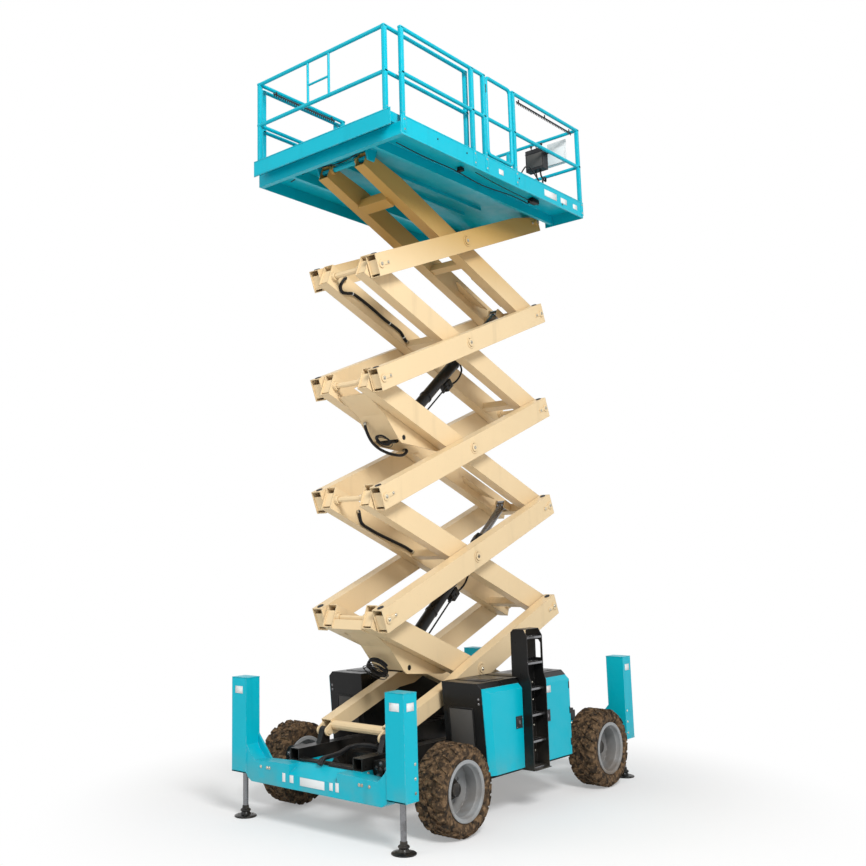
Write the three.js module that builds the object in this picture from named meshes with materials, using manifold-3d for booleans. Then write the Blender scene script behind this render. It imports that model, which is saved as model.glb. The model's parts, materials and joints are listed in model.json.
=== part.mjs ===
// Rough-terrain scissor lift with four jacking outriggers and a roll-out platform extension.
// Millimetres. +X forward, +Y left, +Z up. The origin is on the ground, midway between the feet.

import * as THREE from 'three';
import { mergeVertices } from 'three/addons/utils/BufferGeometryUtils.js';
import Module from 'manifold-3d';

const wasm = await Module();
wasm.setup();

// ---------------------------------------------------------------- driving dimensions

const TOUCH = 0.3;             // gap between pieces that rest on each other
const PIN_PLAY = 4;            // radial play of a pin in its bore
const RUN = 6;                 // gap between pieces that slide or swing past each other
const ROUND = 8;               // sides of a round bar or bore
const PIPE_SIDES = 6;
const WHEEL_SIDES = 24;        // sides of a tyre or rim

// lengths that the rest lines up with
const ARM_PINS = 3220;         // between the end pins of an arm
const HALF_ARM = ARM_PINS / 2;
const TYRE_R = 410;

// jacks
const POST_TUCK = 45;          // jack centre line inside half an arm and a tyre's radius, front and rear
const OUTRIGGER_X = HALF_ARM + TYRE_R - POST_TUCK;
const OUTRIGGER_Y = 1010;
const POST_X = 180;
const POST_Y = 210;
const POST_WALL = 12;

// running gear
const WHEELBASE = 2660;
const FRONT_AXLE_X = 1260;
const REAR_AXLE_X = FRONT_AXLE_X - WHEELBASE;
const TYRE_WIDTH = 330;
const TYRE_OUTER_Y = 1182;
const RIM_FLANGE_R = 272;
const RIM_BARREL_R = 245;      // outside of the barrel that the tyre's beads sit on
const RIM_WALL = 10;
const DISC_OUT_Y = 985;        // outer face of the wheel disc, deep inside the rim
const DISC_THICK = 16;
const HUB_R = 95;
const HUB_CAP_R = 70;
const HUB_CAP_OUT = 75;        // how far the hub cap stands out of the disc
const SPINDLE_R = 32;
const SPINDLE_END = 50;        // how far the spindle runs past the disc
const KINGPIN_Y = 905;
const KINGPIN_R = 22;
const KNUCKLE_R = 38;          // round end of a knuckle and of an axle's lugs, about the kingpin
const KNUCKLE_HALF_Z = 70;
const AXLE_DEPTH = 110;
const AXLE_WIDTH = 120;
const FORK_THICK = 22;
const FORK_WIDTH = 90;
const HUB_PLATE = 14;

// chassis
const RAIL_IN_Y = 350;
const RAIL_OUT_Y = 465;
const RAIL_TOP = TYRE_R + 290;
const RAIL_WALL = 8;
const RAIL_END_BOTTOM = RAIL_TOP - 113;    // under side of the shallow rail ends
const RAIL_STEP_X = OUTRIGGER_X - 585;     // where the rails become shallow
const CROSS_TOP = RAIL_TOP - 110;          // top of the cross members, below the lowered arms
const CROSS_MEMBERS_X = [-1000, -760, 250, 770, 1170];
const CROSS_HALF_X = 45;
const END_CROSS_HALF_X = 38;
const END_CROSS_BACK = 43;     // end cross members behind the rail ends
const CARRIERS_X = [-600, 500];            // carriers of the service boxes
const CARRIER_HALF_X = 50;
const SIDE_HUB_R = 98;         // round hubs outside the front rail ends
const SIDE_HUB_Y = 572;
const SIDE_HUB_REAR_X = OUTRIGGER_X - 365;
const SIDE_HUB_LENGTH = 140;
const TRACK_FRONT_X = -780;
const TRACK_REAR_X = 115 - OUTRIGGER_X;
const TRACK_TOP = RAIL_TOP + 25;
const BASE_BRACKET_IN_Y = 370; // brackets that hold the lowest arms' front pins
const BASE_BRACKET_OUT_Y = 430;
const BEAM_TOP = RAIL_END_BOTTOM - 2;
const BEAM_BOTTOM = BEAM_TOP - 210;
const BEAM_DIP_TOP = BEAM_TOP - 90;        // front edge of the dip in the middle of the beam
const BEAM_DIP_Y = 310;
const BEAM_ARM_BOTTOM = BEAM_BOTTOM + 75;  // arms of the beam under the rail ends
const POST_BOTTOM = BEAM_BOTTOM + 55;
const POST_TOP = 1340;
const JACK_ROD_R = 27;
const FOOT_R = 110;
const FOOT_THICK = 22;
const FOOT_HUB_R = 50;
const FOOT_HUB_TOP = 75;

// service boxes beside the lift
const BOX_IN_Y = 537;
const BOX_OUT_Y = 1049;
const BOX_FRONT_TOP_X = 768;
const BOX_FRONT_LOW_X = 690;
const BOX_REAR_X = -800;
const BOX_BOTTOM = 397;
const BOX_TOP = 1285;
const BOX_WALL = 6;
const DOOR_THICK = 45;
const DOOR_SILL = 30;          // door edge over the box's lower edge
const DOOR_TOP = 1238;
const HOOD_CHAMFER = 48;
const DOOR_BEVEL = 80;         // length of the bevel at the door's front edge
const ENGINE_X = [-500, 100];
const ENGINE_TOP = 1000;
const LADDER_FRONT_X = 110;
const LADDER_REAR_X = -180;
const LADDER_OUT_Y = 1150;
const LADDER_BOTTOM = 400;
const LADDER_TOP = 1765;
const LADDER_HEAD_Y = 930;     // inner edge of the ladder's head, over the hood
const HAND_HOLD_Z = 1470;
const RUNG_COUNT = 6;

// scissor stack
const STAGES = 5;
const REST_ANGLE = 21.35;      // degrees above level, as it stands
const BASE_PIN_X = HALF_ARM - 135;
const BASE_PIN_Z = RAIL_TOP + 110;
const BASE_PIN_U = HALF_ARM - 19;          // the base pin along and across the lowest arm, from its middle
const BASE_PIN_N = 63;
const ARM_DEPTH = 235;
const ARM_WIDTH = 128;
const ARM_WALL = 8;
const ARM_END = 60;            // arm past its end pin
const CAP_INSET = 15;          // end plate behind the arm's end
const BASE_ARM_DEPTH = 152;    // thin front half of the lowest outer arm
const BASE_ARM_LIFT = 12;
const BASE_ARM_SLOPE = 0.042;
const BASE_ARM_END = BASE_PIN_U - 61;
const CRANK_START = 200;
const CRANK_END = 450;
const LUG_R = 45;
const LUG_THICK = 21;
const CROSS_TUBE_BACK = 87;    // cross tube behind and over the lowest arms' front pins
const CROSS_TUBE_UP = 25;
const OUTER_ARM_OUT_Y = 464;
const ARM_GAP = 12;            // between the outer and the inner arm
const SHAFT_R = 28;
const TRUNNION_R = 43;         // pins of the inner arms in the middle of the outer arms
const COLLAR_R = 46;           // collars of an inner frame around a shaft
const COLLAR_LENGTH = 36;
const CROSS_BOX_TOP = -30;     // boxes across an inner frame, from its arms' middle line
const TAPER_LENGTH = 560;      // where the top arms run under the floor
const TAPER_TOP = 50;          // height left over the pins' line at the tapered end
const TAPERED_END = 42;        // tapered arm past its end pin

// lift cylinders: pin places along and across an inner frame, from its middle
const BARREL_PIN_U = 834;
const BARREL_PIN_N = -253;
const ROD_PIN_U = -1320;
const ROD_PIN_N = -100;
const BARREL_R = 78;
const BARREL_BORE_R = 58;
const BARREL_LENGTH = 2070;    // pin to gland
const PISTON_AT = 760;         // piston over the foot pin, as it stands
const PISTON_THICK = 70;
const ROD_R = 42;
const ROD_EYE_R = 55;
const EYE_WIDTH = 90;
const FOOT_WIDTH = 170;        // of the barrel's foot
const FOOT_R_EYE = 50;
const CYLINDER_PIN_R = 26;
const BRACKET_THICK = 20;
const PLATE_OUT_Y = 190;       // deep side plates that carry a barrel's pin
const PLATE_THICK = 14;
const EYE_BEAM_U = -1440;      // beam that carries the plates beside a rod's eye
const BEAM_WIDTH = 100;
const SHIELD_FRONT_U = -620;   // plates over a rod's eye, with a slot between them for the cylinder
const SHIELD_REAR_U = -1290;
const SHIELD_LOW = -34;
const SHIELD_THICK = 10;
const SHIELD_SLOT_Y = 100;

// platform
const DECK_FRONT_X = HALF_ARM + 169;
const DECK_REAR_X = -HALF_ARM - 86;
const DECK_HALF_Y = 1016;
const DECK_BELOW_PIN = 50;     // lower edge of the side plates under the top pins
const FLOOR_ABOVE_PIN = 80;    // under side of the floor over the top pins
const FLOOR_THICK = 6;
const SIDE_HEIGHT = 202;
const SIDE_WALL = 8;
const DECK_BEAM = 60;          // thickness of the deck's front beam
const DECK_RIB = 40;
const DECK_RIB_Y = 560;
const RAIL_HEIGHT = 1153;      // top of the rails over the deck's lower edge
const RAIL_R = 21;
const MID_RAIL = 655;
const POST_SIDE = 46;          // square posts of the rails
const GATE_FRONT_X = 330;
const GATE_REAR_X = -250;
const EXT_FRONT_X = DECK_FRONT_X + 116;
const EXT_REAR_X = 330;
const EXT_HALF_Y = 921;
const EXT_FACE_HALF_Y = 975;   // front plate of the extension
const EXT_FACE_DROP = 75;      // its lower edge over the deck's lower edge
const EXT_FLOOR_GAP = 8;
const EXT_THICK = 25;
const INNER_RIB_REAR_X = -800;
const FOURTH_POST_X = 550;     // post of the side rails ahead of the gate
const FRAME_BARS_Y = [-155, 147];          // small open frame in the extension's front rails
const FRAME_TOP = 210;         // its cross bar over the middle rail
const CONTROL_BOX_X = [-1060, -955];
const CONTROL_BOX_Y = [700, 940];
const CONTROL_BOX_Z = [-190, 70];          // from the middle rail
const CONTROL_ARM_X = [-1030, -990];

// ---------------------------------------------------------------- worked out from them

const rest = THREE.MathUtils.degToRad(REST_ANGLE);
const STAGE_RISE = ARM_PINS * Math.sin(rest);
const ARM_RUN = ARM_PINS * Math.cos(rest);
const MIDDLE_X = BASE_PIN_X - BASE_PIN_U * Math.cos(rest) - BASE_PIN_N * Math.sin(rest);
const FIRST_MIDDLE_Z = BASE_PIN_Z + BASE_PIN_U * Math.sin(rest) - BASE_PIN_N * Math.cos(rest);
const FRONT_PIN_X = MIDDLE_X + ARM_RUN / 2;
const TOP_PIN_Z = FIRST_MIDDLE_Z + (STAGES - 0.5) * STAGE_RISE;
const OUTER_ARM_IN_Y = OUTER_ARM_OUT_Y - ARM_WIDTH;
const INNER_ARM_OUT_Y = OUTER_ARM_IN_Y - ARM_GAP;
const INNER_ARM_IN_Y = INNER_ARM_OUT_Y - ARM_WIDTH;
const DECK_BOTTOM = TOP_PIN_Z - DECK_BELOW_PIN;
const FLOOR_Z = TOP_PIN_Z + FLOOR_ABOVE_PIN;
const FLOOR_TOP = FLOOR_Z + FLOOR_THICK;
const RAIL_TOP_Z = DECK_BOTTOM + RAIL_HEIGHT;
const RAIL_BOTTOM = TYRE_R + AXLE_DEPTH / 2 + TOUCH;
const TOP_SHOE_R = FLOOR_ABOVE_PIN - RUN;
const SHOE_R = BASE_PIN_Z - TRACK_TOP - RUN;

// ---------------------------------------------------------------- colours

const paint = (color, roughness = 0.55, metalness = 0.1) =>
  new THREE.MeshStandardMaterial({ color, roughness, metalness });
const TURQUOISE = paint(0x00b4c8);
const CREAM = paint(0xe3cba0);
const BLACK = paint(0x1d1e20);
const GREY = paint(0xa9a59c);
const TYRE = paint(0x3b342c, 0.9, 0);
const STEEL = paint(0xb9bcc0, 0.3, 0.9);
const DARK_STEEL = paint(0x55585c, 0.5, 0.7);

// ---------------------------------------------------------------- solids

function solid(geometry) {
  const plain = geometry.clone();
  plain.deleteAttribute('normal');
  plain.deleteAttribute('uv');
  const merged = mergeVertices(plain, 1e-3);
  return new wasm.Manifold(new wasm.Mesh({
    numProp: 3,
    vertProperties: Float32Array.from(merged.attributes.position.array),
    triVerts: Uint32Array.from(merged.index.array),
  }));
}

function join(...solids) {
  return solids.flat(2).reduce((whole, piece) => whole.add(piece));
}

function cut(body, ...tools) {
  return tools.flat().reduce((left, tool) => left.subtract(tool), body);
}

function block(x0, x1, y0, y1, z0, z1) {
  const box = new THREE.BoxGeometry(x1 - x0, y1 - y0, z1 - z0);
  return solid(box.translate((x0 + x1) / 2, (y0 + y1) / 2, (z0 + z1) / 2));
}

// Round bars along each axis: radius, ends along the axis, then the two other coordinates.
function rodZ(r, z0, z1, x = 0, y = 0, sides = ROUND) {
  const bar = new THREE.CylinderGeometry(r, r, z1 - z0, sides);
  return solid(bar.rotateX(Math.PI / 2).translate(x, y, (z0 + z1) / 2));
}

function rodY(r, y0, y1, x = 0, z = 0, sides = ROUND) {
  return solid(new THREE.CylinderGeometry(r, r, y1 - y0, sides).translate(x, (y0 + y1) / 2, z));
}

function rodX(r, x0, x1, y = 0, z = 0, sides = ROUND) {
  const bar = new THREE.CylinderGeometry(r, r, x1 - x0, sides);
  return solid(bar.rotateZ(Math.PI / 2).translate((x0 + x1) / 2, y, z));
}

function prism(points, depth, place) {
  const outline = new THREE.Shape(points.map(([a, b]) => new THREE.Vector2(a, b)));
  const bar = new THREE.ExtrudeGeometry(outline, { depth, bevelEnabled: false });
  return solid(bar.applyMatrix4(place));
}

// An outline of (x, z) points between two y values.
function prismY(points, y0, y1) {
  const place = new THREE.Matrix4().makeTranslation(0, y1, 0);
  place.multiply(new THREE.Matrix4().makeRotationX(Math.PI / 2));
  return prism(points, y1 - y0, place);
}

// An outline of (y, z) points between two x values.
function prismX(points, x0, x1) {
  const place = new THREE.Matrix4().set(0, 0, 1, x0, 1, 0, 0, 0, 0, 1, 0, 0, 0, 0, 0, 1);
  return prism(points, x1 - x0, place);
}

// An outline of (x, y) points between two z values.
function prismZ(points, z0, z1) {
  return prism(points, z1 - z0, new THREE.Matrix4().makeTranslation(0, 0, z0));
}

// A round tube with straight runs between the points; each run reaches past its corner to meet the next.
function pipe(points, r, sides = PIPE_SIDES) {
  const runs = points.slice(1).map((point, i) => {
    const from = new THREE.Vector3(...points[i]);
    const to = new THREE.Vector3(...point);
    const along = to.clone().sub(from);
    const bar = new THREE.CylinderGeometry(r, r, along.length() + 0.6 * r, sides);
    const turn = new THREE.Quaternion();
    turn.setFromUnitVectors(new THREE.Vector3(0, 1, 0), along.clone().normalize());
    const middle = from.add(to).multiplyScalar(0.5);
    return solid(bar.applyQuaternion(turn).translate(middle.x, middle.y, middle.z));
  });
  return join(runs);
}

// A rectangular tube along X, open at both ends.
function boxTubeX(x0, x1, y0, y1, z0, z1, wall) {
  const inside = block(x0 - 1, x1 + 1, y0 + wall, y1 - wall, z0 + wall, z1 - wall);
  return cut(block(x0, x1, y0, y1, z0, z1), inside);
}

function turned(body, degrees, x, z) {
  return body.rotate([0, degrees, 0]).translate([x, 0, z]);
}

const mirrored = (body) => body.mirror([0, 1, 0]);

const group = new THREE.Group();

function node(name, body, material) {
  const { vertProperties, triVerts } = body.getMesh();
  const geometry = new THREE.BufferGeometry();
  geometry.setAttribute('position', new THREE.BufferAttribute(vertProperties, 3));
  geometry.setIndex(new THREE.BufferAttribute(triVerts, 1));
  geometry.computeVertexNormals();
  const mesh = new THREE.Mesh(geometry, material);
  mesh.name = name;
  group.add(mesh);
}

// ---------------------------------------------------------------- scissor frames

// One arm lying level along X with its middle pin at the origin; a tapered end passes under the floor.
function levelArm(y0, y1, taperedEnd = 0) {
  const end = HALF_ARM + ARM_END;
  const top = ARM_DEPTH / 2;
  const skin = ARM_WALL / 2;
  const caps = [-1, 1].filter((side) => side !== taperedEnd).map((side) => {
    const middle = side * (end - CAP_INSET - skin);
    return block(middle - skin, middle + skin, y0 + skin, y1 - skin, 28 - top, top - 60);
  });
  const arm = join(boxTubeX(-end, end, y0, y1, -top, top, ARM_WALL), caps);
  if (taperedEnd === 0) {
    return arm;
  }
  const tip = HALF_ARM + TAPERED_END;
  const start = tip - TAPER_LENGTH;
  const side = (points) => points.map(([x, z]) => [taperedEnd * x, z]);
  const above = [[start, top], [tip, TAPER_TOP], [tip, -top - 1], [end + 1, -top - 1],
    [end + 1, top + 1], [start, top + 1]];
  const lid = [[start, top], [tip, TAPER_TOP], [tip, TAPER_TOP - ARM_WALL], [start, top - ARM_WALL]];
  return join(cut(arm, prismY(side(above), y0 - 1, y1 + 1)), prismY(side(lid), y0, y1));
}

// The lowest outer arm: full depth behind its middle, thin and raised in front, with two lugs for its pin.
function baseArm(y0, y1) {
  const half = ARM_DEPTH / 2;
  const thin = BASE_ARM_DEPTH / 2;
  const rear = -HALF_ARM - ARM_END;
  const line = (u) => BASE_ARM_LIFT + BASE_ARM_SLOPE * u;
  const outline = (wall, over) => [
    [rear - over, wall - half], [CRANK_START, wall - half], [CRANK_END, line(CRANK_END) - thin + wall],
    [BASE_ARM_END + over, line(BASE_ARM_END) - thin + wall],
    [BASE_ARM_END + over, line(BASE_ARM_END) + thin - wall],
    [CRANK_END, line(CRANK_END) + thin - wall], [CRANK_START, half - wall], [rear - over, half - wall]];
  const tube = cut(prismY(outline(0, 0), y0, y1), prismY(outline(ARM_WALL, 1), y0 + ARM_WALL, y1 - ARM_WALL));
  const root = BASE_PIN_U - 3 * LUG_R;
  const lugs = [y0 + 1, y1 - 1 - LUG_THICK].map((y) => join(
    prismY([[root, BASE_PIN_N - LUG_R + 1], [BASE_PIN_U, BASE_PIN_N - LUG_R + 1],
      [BASE_PIN_U, BASE_PIN_N + LUG_R - 1], [root, line(root) + thin - 12]], y, y + LUG_THICK),
    rodY(LUG_R, y, y + LUG_THICK, BASE_PIN_U, BASE_PIN_N, 16)));
  return join(tube, lugs, rodY(SHAFT_R, y0 - 8, y1 + 8, BASE_PIN_U, BASE_PIN_N));
}

function outerFrame(stage) {
  const taper = stage === STAGES ? -1 : 0;
  const arm = stage === 1
    ? baseArm(OUTER_ARM_IN_Y, OUTER_ARM_OUT_Y)
    : levelArm(OUTER_ARM_IN_Y, OUTER_ARM_OUT_Y, taper);
  const shaftEnds = stage === 1 ? [-1] : [-1, 1];
  const shafts = shaftEnds.map((end) =>
    rodY(SHAFT_R, -OUTER_ARM_OUT_Y - 8, OUTER_ARM_OUT_Y + 8, end * HALF_ARM));
  const tubeReach = OUTER_ARM_IN_Y + 4;
  const crossTube = stage === 1 ? [rodY(LUG_R, -tubeReach, tubeReach, BASE_PIN_U - CROSS_TUBE_BACK,
    BASE_PIN_N + CROSS_TUBE_UP, 12)] : [];
  const eye = rodY(TRUNNION_R + PIN_PLAY, -OUTER_ARM_OUT_Y - 1, OUTER_ARM_OUT_Y + 1);
  const shoe = rodY(TOP_SHOE_R, INNER_ARM_OUT_Y - 60, OUTER_ARM_IN_Y + 5, -HALF_ARM);
  const shoes = stage === STAGES ? [shoe, mirrored(shoe)] : [];
  const body = join(cut(join(arm, mirrored(arm)), eye), shafts, crossTube, shoes);
  return turned(body, REST_ANGLE, MIDDLE_X, FIRST_MIDDLE_Z + (stage - 1) * STAGE_RISE);
}

// Deep side plates inside the arms and the pan ahead of them, which carry a barrel's pin.
function footBracket() {
  const outline = [[135, -57], [280, -152], [850, -322], [905, -308], [1200, -158], [1530, -95], [1530, -57]];
  const plate = prismY(outline, PLATE_OUT_Y - PLATE_THICK, PLATE_OUT_Y);
  const packing = block(240, 1500, PLATE_OUT_Y - 1, INNER_ARM_IN_Y + ARM_WALL / 2, -90, -62);
  const pan = prismY([[1529, -94], [1200, -156], [906, -306], [901, -295], [1196, -146], [1529, -84]],
    PLATE_THICK / 2 - PLATE_OUT_Y, PLATE_OUT_Y - PLATE_THICK / 2);
  const bore = rodY(CYLINDER_PIN_R + PIN_PLAY, -PLATE_OUT_Y - 1, PLATE_OUT_Y + 1, BARREL_PIN_U, BARREL_PIN_N);
  return cut(join(plate, packing, mirrored(plate), mirrored(packing), pan), bore);
}

// The beam behind a rod's eye, the plates beside the eye, and the shield over it.
function eyeBracket(span) {
  const low = ROD_PIN_N - BEAM_WIDTH / 2;
  const high = ROD_PIN_N + BEAM_WIDTH / 2;
  const beam = block(EYE_BEAM_U - BEAM_WIDTH / 2, EYE_BEAM_U + BEAM_WIDTH / 2, -span, span, low, high - 4);
  const inner = EYE_WIDTH / 2 + RUN;
  const cheek = prismY([[EYE_BEAM_U, low + 1], [ROD_PIN_U + 50, low + 1], [ROD_PIN_U + 50, high - 5],
    [EYE_BEAM_U, high - 5]], inner, inner + BRACKET_THICK);
  const shield = prismZ([[SHIELD_REAR_U + 15, SHIELD_SLOT_Y], [SHIELD_REAR_U + 170, span],
    [SHIELD_FRONT_U - 180, span], [SHIELD_FRONT_U, SHIELD_SLOT_Y + 20],
    [SHIELD_FRONT_U, SHIELD_SLOT_Y]].reverse(),
  SHIELD_LOW, SHIELD_LOW + SHIELD_THICK);
  return join(beam, cheek, mirrored(cheek), shield, mirrored(shield));
}

function crossBox([u0, u1], span, low = 10 - ARM_DEPTH / 2) {
  return block(u0, u1, -span, span, low, CROSS_BOX_TOP);
}

// Ends along the frame of the boxes across the plain frames, and of those across the lowest and highest.
const FRONT_CROSS_U = [200, 300];
const REAR_CROSS_U = [-1350, -1250];
const LOWEST_CROSS_U = [HALF_ARM - 65, HALF_ARM + 50];
const LOWEST_CROSS_LOW = -130;
const LOWEST_BAR_U = -1450;
const LOWEST_BAR_R = 38;
const HIGHEST_FRONT_CROSS_U = [980, 1120];
const HIGHEST_FRONT_CROSS_LOW = -145;
const HIGHEST_REAR_CROSS_U = [-320, -220];

function innerFrame(stage) {
  const taper = stage === STAGES ? 1 : 0;
  const arm = levelArm(INNER_ARM_IN_Y, INNER_ARM_OUT_Y, taper);
  const trunnion = rodY(TRUNNION_R, INNER_ARM_IN_Y, OUTER_ARM_OUT_Y + 8, 0, 0, 12);
  const pinEnds = stage === 1 ? [1] : [-1, 1];
  const side = [arm, trunnion, ...pinEnds.map((end) =>
    rodY(COLLAR_R, INNER_ARM_IN_Y - COLLAR_LENGTH, INNER_ARM_IN_Y + 1, end * HALF_ARM, 0, 12))];
  const span = INNER_ARM_IN_Y + ARM_WALL / 2;
  const across = {
    1: () => [crossBox(LOWEST_CROSS_U, span, LOWEST_CROSS_LOW),
      rodY(LOWEST_BAR_R, -span, span, LOWEST_BAR_U), footBracket()],
    2: () => [crossBox(FRONT_CROSS_U, span), crossBox(REAR_CROSS_U, span)],
    3: () => [footBracket(), eyeBracket(span)],
    4: () => [crossBox(FRONT_CROSS_U, span), crossBox(REAR_CROSS_U, span)],
    5: () => [crossBox(HIGHEST_FRONT_CROSS_U, span, HIGHEST_FRONT_CROSS_LOW),
      crossBox(HIGHEST_REAR_CROSS_U, span), eyeBracket(span)],
  };
  const whole = join(side, side.map(mirrored), across[stage]());
  const bores = pinEnds.map((end) =>
    rodY(SHAFT_R + PIN_PLAY, -INNER_ARM_OUT_Y - 1, INNER_ARM_OUT_Y + 1, end * HALF_ARM));
  const shoes = stage === 1 ? slideShoes() : [];
  const middleZ = FIRST_MIDDLE_Z + (stage - 1) * STAGE_RISE;
  return turned(join(cut(whole, bores), shoes), -REST_ANGLE, MIDDLE_X, middleZ);
}

// Round shoes that carry the lowest frame's rear end along the tracks on the chassis rails.
function slideShoes() {
  const shoe = rodY(SHOE_R, INNER_ARM_OUT_Y - 5, OUTER_ARM_OUT_Y - 10, -BASE_PIN_U, BASE_PIN_N, 16);
  return [shoe, mirrored(shoe)];
}

for (let stage = 1; stage <= STAGES; stage++) {
  node(`outer_frame_${stage}`, outerFrame(stage), CREAM);
  node(`inner_frame_${stage}`, innerFrame(stage), CREAM);
}

// ---------------------------------------------------------------- lift cylinders

// Where a point of an inner frame lies, from its place along and across the frame.
function onInnerFrame(stage, u, n) {
  return {
    x: MIDDLE_X + u * Math.cos(rest) - n * Math.sin(rest),
    z: FIRST_MIDDLE_Z + (stage - 1) * STAGE_RISE + u * Math.sin(rest) + n * Math.cos(rest),
  };
}

function liftCylinder(name, stage) {
  const foot = onInnerFrame(stage, BARREL_PIN_U, BARREL_PIN_N);
  const eye = onInnerFrame(stage + 2, ROD_PIN_U, ROD_PIN_N);
  const length = Math.hypot(eye.x - foot.x, eye.z - foot.z);
  const lean = THREE.MathUtils.radToDeg(Math.atan2(eye.x - foot.x, eye.z - foot.z));
  const valve = block(-160, 10 - BARREL_R, -48, 48, 1160, 1290);
  const loop = pipe([[-140, 0, 1285], [-172, 0, 1390], [-176, 0, 1500], [-140, 0, 1600], [-60, 0, 1625]], 11);
  let barrel = join(rodZ(BARREL_R, 60, BARREL_LENGTH, 0, 0, 16),
    rodZ(BARREL_R + 14, BARREL_LENGTH - 60, BARREL_LENGTH, 0, 0, 6),
    block(-45, 45, -FOOT_WIDTH / 2, FOOT_WIDTH / 2, 0, 70),
    rodY(FOOT_R_EYE, -FOOT_WIDTH / 2, FOOT_WIDTH / 2, 0, 0, 12),
    rodY(CYLINDER_PIN_R, -PLATE_OUT_Y, PLATE_OUT_Y), valve, loop);
  barrel = cut(barrel, rodZ(BARREL_BORE_R, 90, BARREL_LENGTH - 40, 0, 0, 12),
    rodZ(ROD_R + PIN_PLAY, 80, BARREL_LENGTH + 1, 0, 0, 12));
  let rod = join(rodZ(ROD_R, PISTON_AT, length - 30, 0, 0, 12),
    rodY(ROD_EYE_R, -EYE_WIDTH / 2, EYE_WIDTH / 2, 0, length, 12),
    rodZ(BARREL_BORE_R - 4, PISTON_AT, PISTON_AT + PISTON_THICK, 0, 0, 12));
  rod = cut(rod, rodY(CYLINDER_PIN_R + 1, -EYE_WIDTH / 2 - 1, EYE_WIDTH / 2 + 1, 0, length));
  node(`${name}_lift_barrel`, turned(barrel, lean, foot.x, foot.z), BLACK);
  node(`${name}_lift_rod`, turned(rod, lean, foot.x, foot.z), STEEL);
}

// A hose along an inner frame, through (u, y, n) points.
function frameHose(stage, points, r) {
  const placed = points.map(([u, y, n]) => {
    const { x, z } = onInnerFrame(stage, u, n);
    return [x, y, z];
  });
  return pipe(placed, r);
}

liftCylinder('lower', 1);
liftCylinder('upper', 3);

// ---------------------------------------------------------------- wheels and axles

function ringY(profile, y, x, z, sides) {
  const points = profile.map(([r, h]) => new THREE.Vector2(r, h));
  const closed = [...points, points[0].clone()];
  return solid(new THREE.LatheGeometry(closed, sides).translate(x, y, z));
}

function tyre(x) {
  const w = TYRE_WIDTH / 2;
  const bead = RIM_BARREL_R + TOUCH;
  const profile = [
    [bead, -w + 42], [RIM_FLANGE_R + 60, -w], [TYRE_R, -w + 45],
    [TYRE_R, w - 45], [RIM_FLANGE_R + 60, w], [bead, w - 42],
  ];
  return ringY(profile, TYRE_OUTER_Y - w, x, TYRE_R, WHEEL_SIDES);
}

function rim(x) {
  const w = TYRE_WIDTH / 2;
  const mid = TYRE_OUTER_Y - w;
  const profile = [
    [RIM_BARREL_R - RIM_WALL, -w + 10], [RIM_FLANGE_R, -w + 10], [RIM_FLANGE_R, -w + 20],
    [RIM_BARREL_R, -w + 40], [RIM_BARREL_R, w - 40], [RIM_FLANGE_R, w - 20],
    [RIM_FLANGE_R, w - 10], [RIM_BARREL_R - RIM_WALL, w - 10],
  ];
  const barrel = ringY(profile, mid, x, TYRE_R, WHEEL_SIDES);
  const disc = rodY(RIM_BARREL_R - RIM_WALL / 2, DISC_OUT_Y - DISC_THICK, DISC_OUT_Y, x, TYRE_R, WHEEL_SIDES);
  const cap = rodY(HUB_CAP_R, DISC_OUT_Y - 1, DISC_OUT_Y + HUB_CAP_OUT, x, TYRE_R);
  const hub = rodY(HUB_R, DISC_OUT_Y - 1, DISC_OUT_Y + 25, x, TYRE_R);
  const bore = rodY(SPINDLE_R + PIN_PLAY, DISC_OUT_Y - DISC_THICK - 1, DISC_OUT_Y + SPINDLE_END + 3,
    x, TYRE_R);
  return cut(join(barrel, disc, cap, hub), bore);
}

const HUB_FACE_Y = DISC_OUT_Y - DISC_THICK - RUN;

// The plate that the wheel turns against and the spindle that it turns on.
function hubSpindle(x) {
  return join(rodY(HUB_R, HUB_FACE_Y - HUB_PLATE, HUB_FACE_Y, x, TYRE_R),
    rodY(SPINDLE_R, HUB_FACE_Y - 5, DISC_OUT_Y + SPINDLE_END, x, TYRE_R));
}

function knuckle(x) {
  const half = FORK_WIDTH / 2;
  const low = TYRE_R - KNUCKLE_HALF_Z;
  const high = TYRE_R + KNUCKLE_HALF_Z;
  const body = join(rodZ(KNUCKLE_R, low, high, x, KINGPIN_Y, 16),
    block(x - half, x + half, KINGPIN_Y, HUB_FACE_Y - 1, low, high));
  const pin = rodZ(KINGPIN_R, low - FORK_THICK, high + FORK_THICK, x, KINGPIN_Y);
  const steeringArm = block(x - 150, x - half + 5, KINGPIN_Y, KINGPIN_Y + 25, TYRE_R - 20, TYRE_R + 20);
  return join(body, hubSpindle(x), pin, steeringArm);
}

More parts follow.
